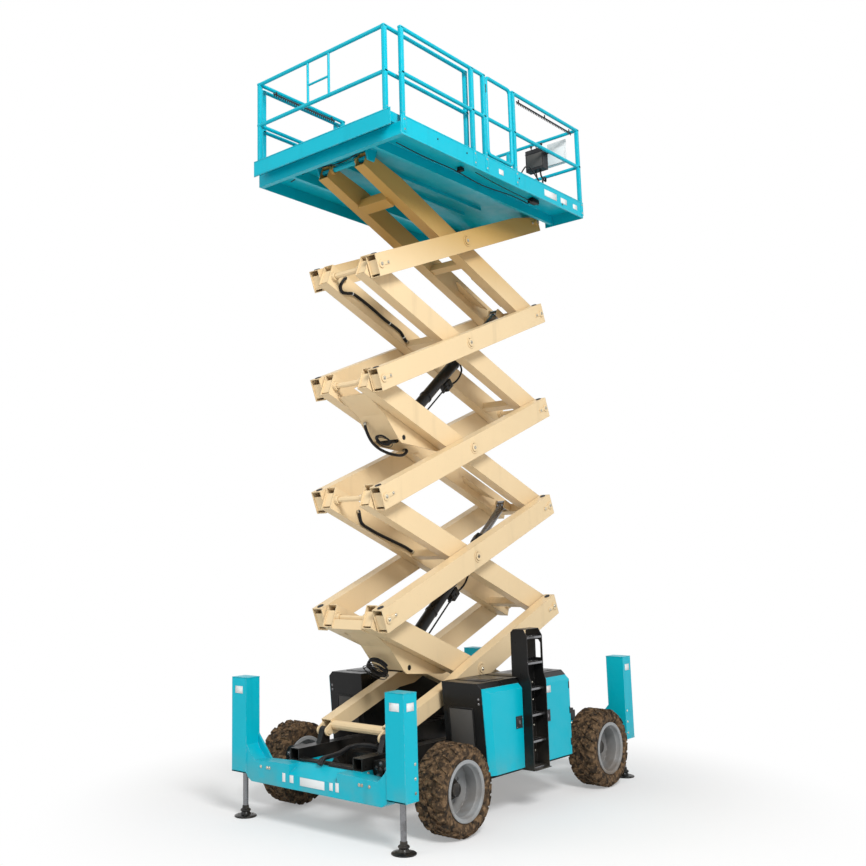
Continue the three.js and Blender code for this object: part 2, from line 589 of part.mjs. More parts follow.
function frontAxle() {
  const x = FRONT_AXLE_X;
  const half = AXLE_WIDTH / 2;
  const yokeOut = KINGPIN_Y - KNUCKLE_R - RUN;
  const yokeIn = yokeOut - 50;
  const beam = block(x - half, x + half, -yokeIn - 1, yokeIn + 1,
    TYRE_R - AXLE_DEPTH / 2, TYRE_R + AXLE_DEPTH / 2);
  const near = KNUCKLE_HALF_Z + PIN_PLAY;
  const far = near + FORK_THICK;
  const wide = KNUCKLE_R - 1;
  const yoke = block(x - wide, x + wide, yokeIn, yokeOut, TYRE_R - far, TYRE_R + far);
  const lugs = [[near, far], [-far, -near]].map(([low, high]) => cut(
    join(block(x - wide, x + wide, yokeIn + 1, KINGPIN_Y, TYRE_R + low, TYRE_R + high),
      rodZ(KNUCKLE_R, TYRE_R + low, TYRE_R + high, x, KINGPIN_Y, 16)),
    rodZ(KINGPIN_R + PIN_PLAY, TYRE_R + low - 1, TYRE_R + high + 1, x, KINGPIN_Y)));
  const fork = join(yoke, lugs);
  return join(beam, fork, mirrored(fork));
}

function rearAxle() {
  const x = REAR_AXLE_X;
  const half = AXLE_WIDTH / 2;
  const end = HUB_FACE_Y - HUB_PLATE + 1;
  const beam = block(x - half, x + half, -end, end, TYRE_R - AXLE_DEPTH / 2, TYRE_R + AXLE_DEPTH / 2);
  const motor = rodY(HUB_R - 10, end - 180, end, x, TYRE_R);
  return join(beam, motor, mirrored(motor), hubSpindle(x), mirrored(hubSpindle(x)));
}

for (const [end, x] of [['front', FRONT_AXLE_X], ['rear', REAR_AXLE_X]]) {
  node(`${end}_left_tyre`, tyre(x), TYRE);
  node(`${end}_right_tyre`, mirrored(tyre(x)), TYRE);
  node(`${end}_left_rim`, rim(x), GREY);
  node(`${end}_right_rim`, mirrored(rim(x)), GREY);
}
node('front_left_knuckle', knuckle(FRONT_AXLE_X), BLACK);
node('front_right_knuckle', mirrored(knuckle(FRONT_AXLE_X)), BLACK);
node('front_axle', frontAxle(), BLACK);
node('rear_axle', rearAxle(), BLACK);

// ---------------------------------------------------------------- chassis

function chassisFrame() {
  const railEnd = OUTRIGGER_X - POST_X / 2 - TOUCH;
  const deep = RAIL_STEP_X - 90;
  const outline = (wall, over) => {
    const half = [[RAIL_STEP_X, RAIL_END_BOTTOM + wall], [railEnd + over, RAIL_END_BOTTOM + wall],
      [railEnd + over, RAIL_TOP - wall]];
    const rear = half.map(([x, z]) => [-x, z]).reverse();
    return [[-deep, RAIL_BOTTOM + wall], [deep, RAIL_BOTTOM + wall], ...half, ...rear];
  };
  const rail = cut(prismY(outline(0, 0), RAIL_IN_Y, RAIL_OUT_Y),
    prismY(outline(RAIL_WALL, 1), RAIL_IN_Y + RAIL_WALL, RAIL_OUT_Y - RAIL_WALL));
  const track = block(TRACK_REAR_X, TRACK_FRONT_X, RAIL_IN_Y + 8, RAIL_OUT_Y - 8, RAIL_TOP - 1, TRACK_TOP);
  const bracket = cut(
    join(prismY([[BASE_PIN_X - LUG_R, RAIL_TOP - 1], [BASE_PIN_X + 90, RAIL_TOP - 1],
      [BASE_PIN_X + LUG_R, BASE_PIN_Z], [BASE_PIN_X - LUG_R, BASE_PIN_Z]],
    BASE_BRACKET_IN_Y, BASE_BRACKET_OUT_Y),
    rodY(LUG_R, BASE_BRACKET_IN_Y, BASE_BRACKET_OUT_Y, BASE_PIN_X, BASE_PIN_Z, 16)),
    rodY(SHAFT_R + PIN_PLAY, BASE_BRACKET_IN_Y - 1, BASE_BRACKET_OUT_Y + 1, BASE_PIN_X, BASE_PIN_Z));
  const hubZ = RAIL_END_BOTTOM + 3;
  const hub = join(
    rodX(SIDE_HUB_R, SIDE_HUB_REAR_X, SIDE_HUB_REAR_X + SIDE_HUB_LENGTH, SIDE_HUB_Y, hubZ, 16),
    block(SIDE_HUB_REAR_X + 30, SIDE_HUB_REAR_X + 110, RAIL_OUT_Y - 2, SIDE_HUB_Y - 12, hubZ + 10, hubZ + 70));
  const parts = [rail, track, bracket, hub].flatMap((piece) => [piece, mirrored(piece)]);
  const reach = RAIL_IN_Y + 2;
  for (const x of CROSS_MEMBERS_X) {
    parts.push(block(x - CROSS_HALF_X, x + CROSS_HALF_X, -reach, reach, RAIL_BOTTOM, CROSS_TOP));
  }
  for (const side of [-1, 1]) {
    const x = side * (railEnd - END_CROSS_BACK);
    parts.push(block(x - END_CROSS_HALF_X, x + END_CROSS_HALF_X, -reach, reach,
      RAIL_END_BOTTOM + 4, RAIL_END_BOTTOM + 25));
  }
  for (const x of CARRIERS_X) {
    const carrier = block(x - CARRIER_HALF_X, x + CARRIER_HALF_X, RAIL_OUT_Y - 2, BOX_IN_Y - TOUCH,
      RAIL_BOTTOM + 2, RAIL_TOP - 2);
    parts.push(carrier, mirrored(carrier));
  }
  return join(parts);
}

// The cross beam and two posts that hold a pair of jacks; `end` is +1 at the front, -1 at the rear.
function outriggerBeam(end) {
  const x0 = OUTRIGGER_X - POST_X / 2;
  const x1 = OUTRIGGER_X + POST_X / 2;
  const yIn = OUTRIGGER_Y - POST_Y / 2;
  const yOut = OUTRIGGER_Y + POST_Y / 2;
  const face = x1 - 10;
  const half = [[yIn - 70, BEAM_BOTTOM - 8], [yIn - 12, BEAM_BOTTOM + 25], [yIn + 5, BEAM_BOTTOM + 60],
    [yIn + 5, BEAM_TOP + 125], [yIn - 29, BEAM_TOP + 65], [yIn - 115, BEAM_TOP - 16],
    [yIn - 350, BEAM_TOP - 4], [BEAM_DIP_Y + 20, BEAM_TOP]];
  const plate = [...half, ...half.map(([y, z]) => [-y, z]).reverse()];
  const dip = prismY([[face + 1, BEAM_DIP_TOP], [x0 + 15, BEAM_TOP - 1], [x0 + 15, BEAM_TOP + 1],
    [face + 1, BEAM_TOP + 1]], -BEAM_DIP_Y, BEAM_DIP_Y);
  const beam = cut(prismX(plate, x0, face), dip);
  const gusset = prismX([[yIn - 205, BEAM_TOP - 25], [yIn + 5, BEAM_TOP - 25], [yIn + 5, BEAM_TOP + 215]],
    x0 + 1, x0 + 21);
  const arm = prismY([[RAIL_STEP_X + 10, RAIL_END_BOTTOM - 60], [RAIL_STEP_X + 120, BEAM_ARM_BOTTOM],
    [x0 + 5, BEAM_ARM_BOTTOM], [x0 + 5, RAIL_END_BOTTOM - TOUCH - 2], [x0 - 1, RAIL_END_BOTTOM - TOUCH],
    [RAIL_STEP_X + 10, RAIL_END_BOTTOM - TOUCH]], RAIL_IN_Y + 2, RAIL_OUT_Y - 2);
  const outside = block(x0, x1, yIn, yOut, POST_BOTTOM, POST_TOP);
  const inside = block(x0 + POST_WALL, x1 - POST_WALL, yIn + POST_WALL, yOut - POST_WALL,
    POST_BOTTOM - 1, POST_TOP - POST_WALL);
  const post = cut(outside, inside);
  const cap = cut(block(x0 + 5, x1 - 5, yIn + 5, yOut - 5, POST_BOTTOM, POST_BOTTOM + 20),
    rodZ(JACK_ROD_R + 3, POST_BOTTOM - 1, POST_BOTTOM + 21, OUTRIGGER_X, OUTRIGGER_Y, 12));
  const side = [gusset, arm, post, cap];
  const body = join(beam, side, side.map(mirrored));
  return end > 0 ? body : body.mirror([1, 0, 0]);
}

function jackLeg(xSide, ySide) {
  const x = xSide * OUTRIGGER_X;
  const y = ySide * OUTRIGGER_Y;
  return join(rodZ(FOOT_R, 0, FOOT_THICK, x, y), rodZ(FOOT_HUB_R, FOOT_THICK - 1, FOOT_HUB_TOP, x, y),
    rodZ(JACK_ROD_R, FOOT_HUB_TOP - 1, POST_BOTTOM + 600, x, y));
}

node('chassis_frame', chassisFrame(), BLACK);
node('front_outrigger_beam', outriggerBeam(1), TURQUOISE);
node('rear_outrigger_beam', outriggerBeam(-1), TURQUOISE);
for (const [end, xSide] of [['front', 1], ['rear', -1]]) {
  node(`${end}_left_jack_leg`, jackLeg(xSide, 1), STEEL);
  node(`${end}_right_jack_leg`, jackLeg(xSide, -1), STEEL);
}

// ---------------------------------------------------------------- service boxes, doors, ladder

function boxFrontX(z) {
  return BOX_FRONT_LOW_X + (BOX_FRONT_TOP_X - BOX_FRONT_LOW_X) * (z - BOX_BOTTOM) / (BOX_TOP - BOX_BOTTOM);
}

const DOOR_IN_Y = BOX_OUT_Y - DOOR_THICK;
const BOX_FACE_Y = DOOR_IN_Y - TOUCH;      // open side of the box, behind its doors

function serviceBox() {
  const outline = (inset) => [
    [BOX_REAR_X + inset, BOX_BOTTOM + inset], [boxFrontX(BOX_BOTTOM) - inset, BOX_BOTTOM + inset],
    [boxFrontX(BOX_TOP) - inset, BOX_TOP - inset], [BOX_REAR_X + inset, BOX_TOP - inset]];
  const shell = cut(prismY(outline(0), BOX_IN_Y, BOX_FACE_Y),
    prismY(outline(BOX_WALL), BOX_IN_Y + BOX_WALL, BOX_FACE_Y + 1));
  const edge = BOX_FACE_Y - HOOD_CHAMFER;
  const corner = prismX([[edge, BOX_TOP], [BOX_FACE_Y + 1, BOX_TOP - HOOD_CHAMFER],
    [BOX_FACE_Y + 1, BOX_TOP + 1], [edge, BOX_TOP + 1]], BOX_REAR_X - 1, BOX_FRONT_TOP_X + 1);
  const lip = prismX([[edge - 2, BOX_TOP - 1], [BOX_FACE_Y - 1, BOX_TOP - HOOD_CHAMFER - 1],
    [BOX_FACE_Y - 1, BOX_TOP - HOOD_CHAMFER - 26], [BOX_FACE_Y - 8, BOX_TOP - HOOD_CHAMFER - 26],
    [BOX_FACE_Y - 8, BOX_TOP - HOOD_CHAMFER - 4], [edge - 4, BOX_TOP - BOX_WALL - 1]],
  BOX_REAR_X + 2, boxFrontX(BOX_TOP - 2 * HOOD_CHAMFER) - 2);
  const pillar = block(LADDER_REAR_X, LADDER_FRONT_X, BOX_FACE_Y - 40, BOX_FACE_Y, BOX_BOTTOM + 2,
    BOX_TOP - HOOD_CHAMFER - 10);
  return join(cut(shell, corner), lip, pillar);
}

function boxDoor(x0, x1, front) {
  const z0 = BOX_BOTTOM + DOOR_SILL;
  const slope = [[DOOR_IN_Y, z0], [BOX_OUT_Y, z0], [BOX_OUT_Y, DOOR_TOP - DOOR_THICK], [DOOR_IN_Y, DOOR_TOP]];
  const panel = prismX(slope, x0, x1);
  if (!front) {
    return panel;
  }
  const edge = (z) => boxFrontX(z) - 5;
  const ahead = prismY([[edge(z0), z0 - 1], [edge(z0) + 400, z0 - 1], [edge(z0) + 400, DOOR_TOP + 1],
    [edge(DOOR_TOP), DOOR_TOP + 1]], DOOR_IN_Y - 1, BOX_OUT_Y + 1);
  const lean = THREE.MathUtils.radToDeg(Math.atan2(edge(DOOR_TOP) - edge(z0), DOOR_TOP - z0));
  const wedge = prismZ([[-DOOR_BEVEL, BOX_OUT_Y], [4, DOOR_IN_Y + 6], [90, DOOR_IN_Y + 6], [90, BOX_OUT_Y + 9],
    [-DOOR_BEVEL, BOX_OUT_Y + 9]], -50, DOOR_TOP - z0 + 50);
  return cut(panel, ahead, turned(wedge, lean, edge(z0), z0));
}

// Two side plates with a deep head over the hood, a back panel, rungs, and a bottom step that stands out.
function ladder() {
  const y0 = BOX_FACE_Y + 2;
  const y1 = LADDER_OUT_Y;
  const over = BOX_TOP + 6;
  const sideOutline = [[y0, LADDER_BOTTOM], [y1, LADDER_BOTTOM], [y1, over - 40], [y1 - 28, over + 40],
    [y1 - 28, LADDER_TOP - 70], [y1 - 70, LADDER_TOP], [LADDER_HEAD_Y + 35, LADDER_TOP],
    [LADDER_HEAD_Y, LADDER_TOP - 35], [LADDER_HEAD_Y, over], [y0, over]];
  const side = (x) => prismX(sideOutline, x, x + 8);
  const front = LADDER_FRONT_X - TOUCH;
  const rear = LADDER_REAR_X + TOUCH;
  const hold = prismX([[y1 - 110, HAND_HOLD_Z], [y1 - 50, HAND_HOLD_Z], [y1 - 50, HAND_HOLD_Z + 150],
    [y1 - 70, HAND_HOLD_Z + 180], [y1 - 110, HAND_HOLD_Z + 180]], rear - 1, rear + 9);
  const parts = [cut(side(rear), hold), side(front - 8),
    block(rear + 4, front - 4, y0 + 1, y0 + 7, LADDER_BOTTOM + 1, HAND_HOLD_Z),
    block(rear + 4, front - 4, LADDER_HEAD_Y + 36, y1 - 72, LADDER_TOP - 7, LADDER_TOP - 1),
    block(rear + 4, front - 4, y1 - 40, y1 + 20, LADDER_BOTTOM + 4, LADDER_BOTTOM + 12)];
  const pitch = (LADDER_TOP - 100 - LADDER_BOTTOM) / (RUNG_COUNT - 1);
  for (let i = 0; i < RUNG_COUNT; i++) {
    const z = LADDER_BOTTOM + 3 + i * pitch;
    parts.push(block(rear + 4, front - 4, y0 + 3, y1 - 30, z, z + 24));
  }
  return join(parts);
}

node('left_service_box', serviceBox(), BLACK);
node('right_service_box', mirrored(serviceBox()), BLACK);
const frontDoor = boxDoor(LADDER_FRONT_X + RUN, BOX_FRONT_TOP_X, true);
const rearDoor = boxDoor(BOX_REAR_X + 5, LADDER_REAR_X - RUN, false);
node('left_front_door', frontDoor, TURQUOISE);
node('left_rear_door', rearDoor, TURQUOISE);
node('right_front_door', mirrored(frontDoor), TURQUOISE);
node('right_rear_door', mirrored(rearDoor), TURQUOISE);
node('access_ladder', ladder(), BLACK);
node('engine_block', block(...ENGINE_X, 129 - BOX_OUT_Y, -63 - BOX_IN_Y, BOX_BOTTOM + 60, ENGINE_TOP),
  DARK_STEEL);

// ---------------------------------------------------------------- platform

const TOE_TOP = DECK_BOTTOM + SIDE_HEIGHT;
const TOP_RAIL_Z = RAIL_TOP_Z - RAIL_R;
const MID_RAIL_Z = DECK_BOTTOM + MID_RAIL;
const RAIL_Y = DECK_HALF_Y - RAIL_R;
const RAIL_REAR_X = DECK_REAR_X + RAIL_R;
const RAIL_FRONT_X = DECK_FRONT_X - 50;

// The floor on its ribs, the front beam, the rear wall, and the lugs with the shaft of the platform's pins.
function platformDeck() {
  const x0 = DECK_REAR_X;
  const x1 = DECK_FRONT_X;
  const y = DECK_HALF_Y - SIDE_WALL - TOUCH;
  const skin = SIDE_WALL / 2;
  const corridor = OUTER_ARM_OUT_Y + 26;
  const rearWall = cut(block(x0, x0 + SIDE_WALL, -y, y, DECK_BOTTOM, TOE_TOP),
    block(x0 - 1, x0 + SIDE_WALL + 1, -corridor, corridor, DECK_BOTTOM - 1, FLOOR_Z - 5));
  const parts = [block(x0 + skin, x1 - skin, -y + skin, y - skin, FLOOR_Z, FLOOR_TOP), rearWall,
    block(x1 - DECK_BEAM, x1, -y, y, DECK_BOTTOM, FLOOR_Z + skin)];
  const lugIn = OUTER_ARM_IN_Y + 2;
  const innerRib = INNER_ARM_IN_Y - COLLAR_LENGTH - 60;
  const sideParts = [
    block(x0 + skin, x1 - skin, DECK_RIB_Y, DECK_RIB_Y + DECK_RIB, DECK_BOTTOM + DECK_RIB / 2, FLOOR_Z + skin),
    block(INNER_RIB_REAR_X, x1 - skin, innerRib, innerRib + DECK_RIB, FLOOR_Z - DECK_RIB, FLOOR_Z + skin),
    prismY([[FRONT_PIN_X - 90, FLOOR_Z + skin], [FRONT_PIN_X - 50, TOP_PIN_Z - 45],
      [FRONT_PIN_X + 50, TOP_PIN_Z - 45], [FRONT_PIN_X + 90, FLOOR_Z + skin]], lugIn, lugIn + BRACKET_THICK)];
  const shaftEnd = lugIn + BRACKET_THICK / 2;
  const shaft = rodY(SHAFT_R, -shaftEnd, shaftEnd, FRONT_PIN_X, TOP_PIN_Z);
  return join(parts, sideParts, sideParts.map(mirrored), shaft);
}

// A railing of round rails at two heights along its path, on square posts.
function railing(path, posts) {
  const runs = [TOP_RAIL_Z, MID_RAIL_Z].map((z) => pipe(path.map(([x, y]) => [x, y, z]), RAIL_R));
  const side = POST_SIDE / 2;
  return join(runs, posts.map(([x, y, z0]) =>
    block(x - side, x + side, y - side + 2, y + side - 2, z0, TOP_RAIL_Z + 5)));
}

function deckRailing(path, posts) {
  return railing(path, posts.map(([x, y]) => [x, y, TOE_TOP + TOUCH]));
}

function entryGate() {
  const x0 = GATE_REAR_X + 2 * RAIL_R + 2 * RUN;
  const x1 = GATE_FRONT_X - 2 * RAIL_R - 2 * RUN;
  const z0 = TOE_TOP + 40;
  const z1 = TOP_RAIL_Z;
  const frame = [[x0, z0], [x1, z0], [x1, z1], [x0, z1], [x0, z0], [x1, z0]];
  return join(pipe(frame.map(([x, z]) => [x, RAIL_Y, z]), RAIL_R),
    pipe([[x0, RAIL_Y, MID_RAIL_Z], [x1, RAIL_Y, MID_RAIL_Z]], RAIL_R));
}

function extensionDeck() {
  const y = EXT_HALF_Y;
  const z0 = FLOOR_TOP + EXT_FLOOR_GAP;
  const wall = (y0) => block(EXT_REAR_X, EXT_FRONT_X - 1, y0, y0 + SIDE_WALL, z0 + 1, EXT_WALL_TOP);
  return join(block(EXT_REAR_X, EXT_FRONT_X - 1, -y + 1, y - 1, z0, z0 + EXT_THICK),
    block(EXT_FRONT_X - SIDE_WALL, EXT_FRONT_X, -EXT_FACE_HALF_Y, EXT_FACE_HALF_Y,
      DECK_BOTTOM + EXT_FACE_DROP, EXT_WALL_TOP),
    wall(y - SIDE_WALL), wall(-y));
}

const EXT_WALL_TOP = DECK_BOTTOM + 250;
const EXT_RAIL_Y = EXT_HALF_Y - RAIL_R;
const EXT_RAIL_FRONT_X = EXT_FRONT_X - RAIL_R;
const EXT_RAIL_REAR_X = EXT_REAR_X + 200;

function extensionRailing(path, posts) {
  return railing(path, posts.map(([x, y]) => [x, y, EXT_WALL_TOP + TOUCH]));
}

node('platform_deck', platformDeck(), TURQUOISE);
const sidePlate = block(DECK_REAR_X, DECK_FRONT_X, DECK_HALF_Y - SIDE_WALL, DECK_HALF_Y, DECK_BOTTOM, TOE_TOP);
node('platform_left_side', sidePlate, TURQUOISE);
node('platform_right_side', mirrored(sidePlate), TURQUOISE);
node('platform_left_rear_rails', deckRailing([[GATE_REAR_X, RAIL_Y], [RAIL_REAR_X, RAIL_Y]],
  [[GATE_REAR_X, RAIL_Y], [RAIL_REAR_X, RAIL_Y]]), TURQUOISE);
node('platform_left_front_rails', deckRailing([[GATE_FRONT_X, RAIL_Y], [RAIL_FRONT_X, RAIL_Y]],
  [[GATE_FRONT_X, RAIL_Y], [FOURTH_POST_X, RAIL_Y], [RAIL_FRONT_X, RAIL_Y]]), TURQUOISE);
node('platform_right_rails', deckRailing([[RAIL_REAR_X, -RAIL_Y], [RAIL_FRONT_X, -RAIL_Y]],
  [[RAIL_REAR_X, -RAIL_Y], [GATE_REAR_X, -RAIL_Y], [FOURTH_POST_X, -RAIL_Y],
    [RAIL_FRONT_X, -RAIL_Y]]), TURQUOISE);
const rearReach = RAIL_Y - POST_SIDE / 2 + 2 - TOUCH - 0.3 * RAIL_R;
node('platform_rear_rails', deckRailing([[RAIL_REAR_X, -rearReach], [RAIL_REAR_X, rearReach]],
  [[RAIL_REAR_X, 0]]), TURQUOISE);
node('entry_gate', entryGate(), TURQUOISE);
node('extension_deck', extensionDeck(), TURQUOISE);
const extensionSide = extensionRailing([[EXT_RAIL_REAR_X, EXT_RAIL_Y], [EXT_RAIL_FRONT_X, EXT_RAIL_Y]],
  [[EXT_RAIL_REAR_X, EXT_RAIL_Y], [EXT_RAIL_FRONT_X - 2, EXT_RAIL_Y]]);
node('extension_left_rails', extensionSide, TURQUOISE);
node('extension_right_rails', mirrored(extensionSide), TURQUOISE);
// the front rails with the small open frame in their middle
const frontReach = EXT_RAIL_Y - POST_SIDE / 2 + 2 - TOUCH - 0.3 * RAIL_R;
const frameBars = FRAME_BARS_Y.map((y) => rodZ(14, MID_RAIL_Z, TOP_RAIL_Z, EXT_RAIL_FRONT_X, y, PIPE_SIDES));
node('extension_front_rails', join(
  extensionRailing([[EXT_RAIL_FRONT_X, -frontReach], [EXT_RAIL_FRONT_X, frontReach]], []),
  frameBars, rodY(12, ...FRAME_BARS_Y, EXT_RAIL_FRONT_X, MID_RAIL_Z + FRAME_TOP)), TURQUOISE);
const boxEdge = RAIL_Y - RAIL_R - TOUCH;
const [controlLow, controlHigh] = CONTROL_BOX_Z.map((z) => MID_RAIL_Z + z);
node('control_box', join(block(...CONTROL_BOX_X, ...CONTROL_BOX_Y, controlLow, controlHigh),
  block(...CONTROL_ARM_X, CONTROL_BOX_Y[1] - 2, boxEdge, MID_RAIL_Z - 14, MID_RAIL_Z + 14)), DARK_STEEL);

// ---------------------------------------------------------------- hoses

const HOSE_R = 17;
const besideArm = HOSE_R + 1 - INNER_ARM_IN_Y;     // hose's middle line, along a right-hand arm
const leaving = besideArm + 8;                     // clear of the arm, where the hose comes out of it
const entering = besideArm - 12.4;
const upperHose = [[1470, entering, 62], [1470, leaving, 62], [1490, besideArm, 10], [1500, besideArm, -60],
  [1455, besideArm, -100], [1380, besideArm, -70], [1280, besideArm, -24], [1020, besideArm, -14],
  [737, besideArm, -21], [490, besideArm, -12], [400, besideArm, -40], [350, besideArm, -60],
  [305.6, besideArm, -60]];
const lowerHose = [[1282, entering, 4], [1282, leaving, 4], [1240, besideArm, -40], [1182, besideArm, -90],
  [1040, besideArm, -96], [886, besideArm, -92], [487, besideArm, -62], [350, besideArm, -62],
  [305.6, besideArm, -62]];
const middleHose = [[1150, -110, -199], [1110, -110, -262], [1000, -110, -336], [880, -110, -362],
  [740, -110, -352], [600, -110, -318], [470, -114, -262], [412, -118, -195], [408, -135, -168],
  [408, -170.7, -168]];
node('upper_frame_hose', frameHose(4, upperHose, HOSE_R), BLACK);
node('lower_frame_hose', frameHose(2, lowerHose, HOSE_R), BLACK);
node('middle_frame_hose', frameHose(3, middleHose, HOSE_R - 1), BLACK);

// two turns of hose hanging under the lowest frame's pan
const COIL_R = 105;
const COIL_HOSE_R = 12;
const COIL_TURNS = 2;
const COIL_STEPS = 12;
const coil = [];
for (let i = 0; i <= COIL_TURNS * COIL_STEPS; i++) {
  const turn = i * 2 * Math.PI / COIL_STEPS;
  const out = 24 + i * 2.2;
  const along = COIL_R * Math.sin(turn);
  coil.push([1069 + 0.904 * along + 0.428 * out, COIL_R * Math.cos(turn), -290 + 0.428 * along - 0.904 * out]);
}
node('coiled_hose', frameHose(1, coil, COIL_HOSE_R), BLACK);

// a thick and a thin hose from the front beam, over the frame's end, to the left rail
const thickHose = [[1932, -30, 596], [1890, -25, 645], [1700, 0, 668], [1560, 10, 705], [1470, 90, 722],
  [1400, 200, 712], [1345, 300, 668], [1345, 342.8, 668]];
const thinHose = [[1930, -4, 600], [1882, 0, 656], [1700, 26, 680], [1560, 34, 716], [1480, 108, 734],
  [1420, 190, 722]];
node('chassis_hoses', join(pipe(thickHose, 22), pipe(thinHose, 13)), BLACK);

export default group;
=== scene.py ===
"""Looks of a rough-terrain scissor lift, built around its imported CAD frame.

Metres, +X forward, +Y left, +Z up.
"""

import json
import math
import random

import bmesh
import bpy
from mathutils import Matrix, Vector


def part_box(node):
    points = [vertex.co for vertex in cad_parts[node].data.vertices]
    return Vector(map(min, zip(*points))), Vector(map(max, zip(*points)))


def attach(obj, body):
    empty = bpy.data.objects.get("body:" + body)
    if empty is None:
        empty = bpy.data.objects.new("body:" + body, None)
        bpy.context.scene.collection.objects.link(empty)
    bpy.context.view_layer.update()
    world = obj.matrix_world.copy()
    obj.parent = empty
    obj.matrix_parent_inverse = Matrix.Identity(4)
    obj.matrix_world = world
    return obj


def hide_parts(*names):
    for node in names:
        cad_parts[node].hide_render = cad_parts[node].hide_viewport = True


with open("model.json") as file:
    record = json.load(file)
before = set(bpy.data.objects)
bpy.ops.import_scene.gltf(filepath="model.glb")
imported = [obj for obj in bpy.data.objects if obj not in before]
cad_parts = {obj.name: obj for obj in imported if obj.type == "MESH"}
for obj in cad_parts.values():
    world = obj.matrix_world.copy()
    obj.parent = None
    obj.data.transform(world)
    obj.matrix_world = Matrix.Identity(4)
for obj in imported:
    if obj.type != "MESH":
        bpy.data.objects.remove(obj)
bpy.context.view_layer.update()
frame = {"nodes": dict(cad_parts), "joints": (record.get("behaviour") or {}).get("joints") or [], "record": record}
random.seed(7)

# ---- camera, light and floor

CAMERA_PLACE = Vector((8.9276, 6.7996, 2.4946))
CAMERA_RIGHT = Vector((-0.67866, 0.73431, -0.01439))
CAMERA_UP = Vector((0.10399, 0.11546, 0.98785))
CAMERA_LENS = 41.65
CAMERA_SHIFT = (0.1016, -0.0358)
FLOOR_SIZE = 400
SHADOW_FROM = 2.2        # the floor fades to the backdrop's white between these distances
SHADOW_TO = 4.4
SHADOW_LIFT = 0.28       # share of plain white in the floor around the object
FLOOR_WHITE = (0.93, 0.93, 0.93, 1)
SKY_LIGHT = 0.42         # strength of the white world on the object itself
AIM = (0, 0, 3.2)        # the lamps point at this place


def add_object(name, data):
    thing = bpy.data.objects.new(name, data)
    bpy.context.scene.collection.objects.link(thing)
    return thing


def add_camera():
    data = bpy.data.cameras.new("camera")
    data.lens = CAMERA_LENS
    data.sensor_width = 36.0
    data.shift_x, data.shift_y = CAMERA_SHIFT
    camera = add_object("camera", data)
    right = CAMERA_RIGHT.normalized()
    back = right.cross(CAMERA_UP).normalized()
    up = back.cross(right)
    turn = Matrix((right, up, back)).transposed().to_4x4()
    camera.matrix_world = Matrix.Translation(CAMERA_PLACE) @ turn
    bpy.context.scene.camera = camera


def add_lamp(name, place, size, power):
    data = bpy.data.lights.new(name, "AREA")
    data.shape = "DISK"
    data.size = size
    data.energy = power
    lamp = add_object(name, data)
    lamp.location = place
    lamp.rotation_euler = (Vector(AIM) - Vector(place)).to_track_quat("-Z", "Y").to_euler()


def add_node(tree, kind, inputs, **settings):
    """A shader node; each input is a number, a colour or another node's output."""
    node = tree.nodes.new("ShaderNode" + kind)
    for name, value in settings.items():
        setattr(node, name, value)
    for name, value in inputs.items():
        if isinstance(value, bpy.types.NodeSocket):
            tree.links.new(value, node.inputs[name])
        else:
            node.inputs[name].default_value = value
    return node


def seen_directly(tree):
    """1 for camera, glossy and transmission rays, 0 for the rays that light the object."""
    paths = add_node(tree, "LightPath", {}).outputs
    found = paths["Is Camera Ray"]
    for kind in ("Is Glossy Ray", "Is Transmission Ray"):
        found = add_node(tree, "Math", {0: found, 1: paths[kind]}, operation="MAXIMUM").outputs[0]
    return found


def add_floor():
    mesh = bpy.data.meshes.new("floor")
    half = FLOOR_SIZE / 2
    corners = [(-half, -half, 0), (half, -half, 0), (half, half, 0), (-half, half, 0)]
    mesh.from_pydata(corners, [], [(0, 1, 2, 3)])
    material = bpy.data.materials.new("floor")
    material.use_nodes = True
    tree = material.node_tree
    shader = tree.nodes["Principled BSDF"]
    shader.inputs["Base Color"].default_value = FLOOR_WHITE
    shader.inputs["Roughness"].default_value = 0.9
    place = add_node(tree, "TexCoord", {}).outputs["Object"]
    distance = add_node(tree, "VectorMath", {0: place}, operation="LENGTH").outputs["Value"]
    fade = add_node(tree, "MapRange", {"Value": distance, "From Min": SHADOW_FROM, "From Max": SHADOW_TO,
                                       "To Min": SHADOW_LIFT}, interpolation_type="SMOOTHSTEP")
    share = add_node(tree, "Math", {0: fade.outputs["Result"], 1: seen_directly(tree)}, operation="MULTIPLY")
    white = add_node(tree, "Emission", {})
    mix = add_node(tree, "MixShader", {"Fac": share.outputs[0], 1: shader.outputs[0], 2: white.outputs[0]})
    tree.links.new(mix.outputs[0], tree.nodes["Material Output"].inputs["Surface"])
    mesh.materials.append(material)
    floor = add_object("floor", mesh)


def add_world():
    world = bpy.data.worlds.new("studio")
    bpy.context.scene.world = world
    world.use_nodes = True
    tree = world.node_tree
    strength = add_node(tree, "MapRange", {"Value": seen_directly(tree), "To Min": SKY_LIGHT, "To Max": 1.0})
    background = tree.nodes["Background"]
    background.inputs["Color"].default_value = (1, 1, 1, 1)
    tree.links.new(strength.outputs["Result"], background.inputs["Strength"])


add_camera()
add_world()
add_floor()
add_lamp("key", (7, 11, 12), 5, 2000)
add_lamp("fill", (12, -5, 7), 7, 300)
bpy.context.scene.view_settings.view_transform = "Standard"

# ---- materials


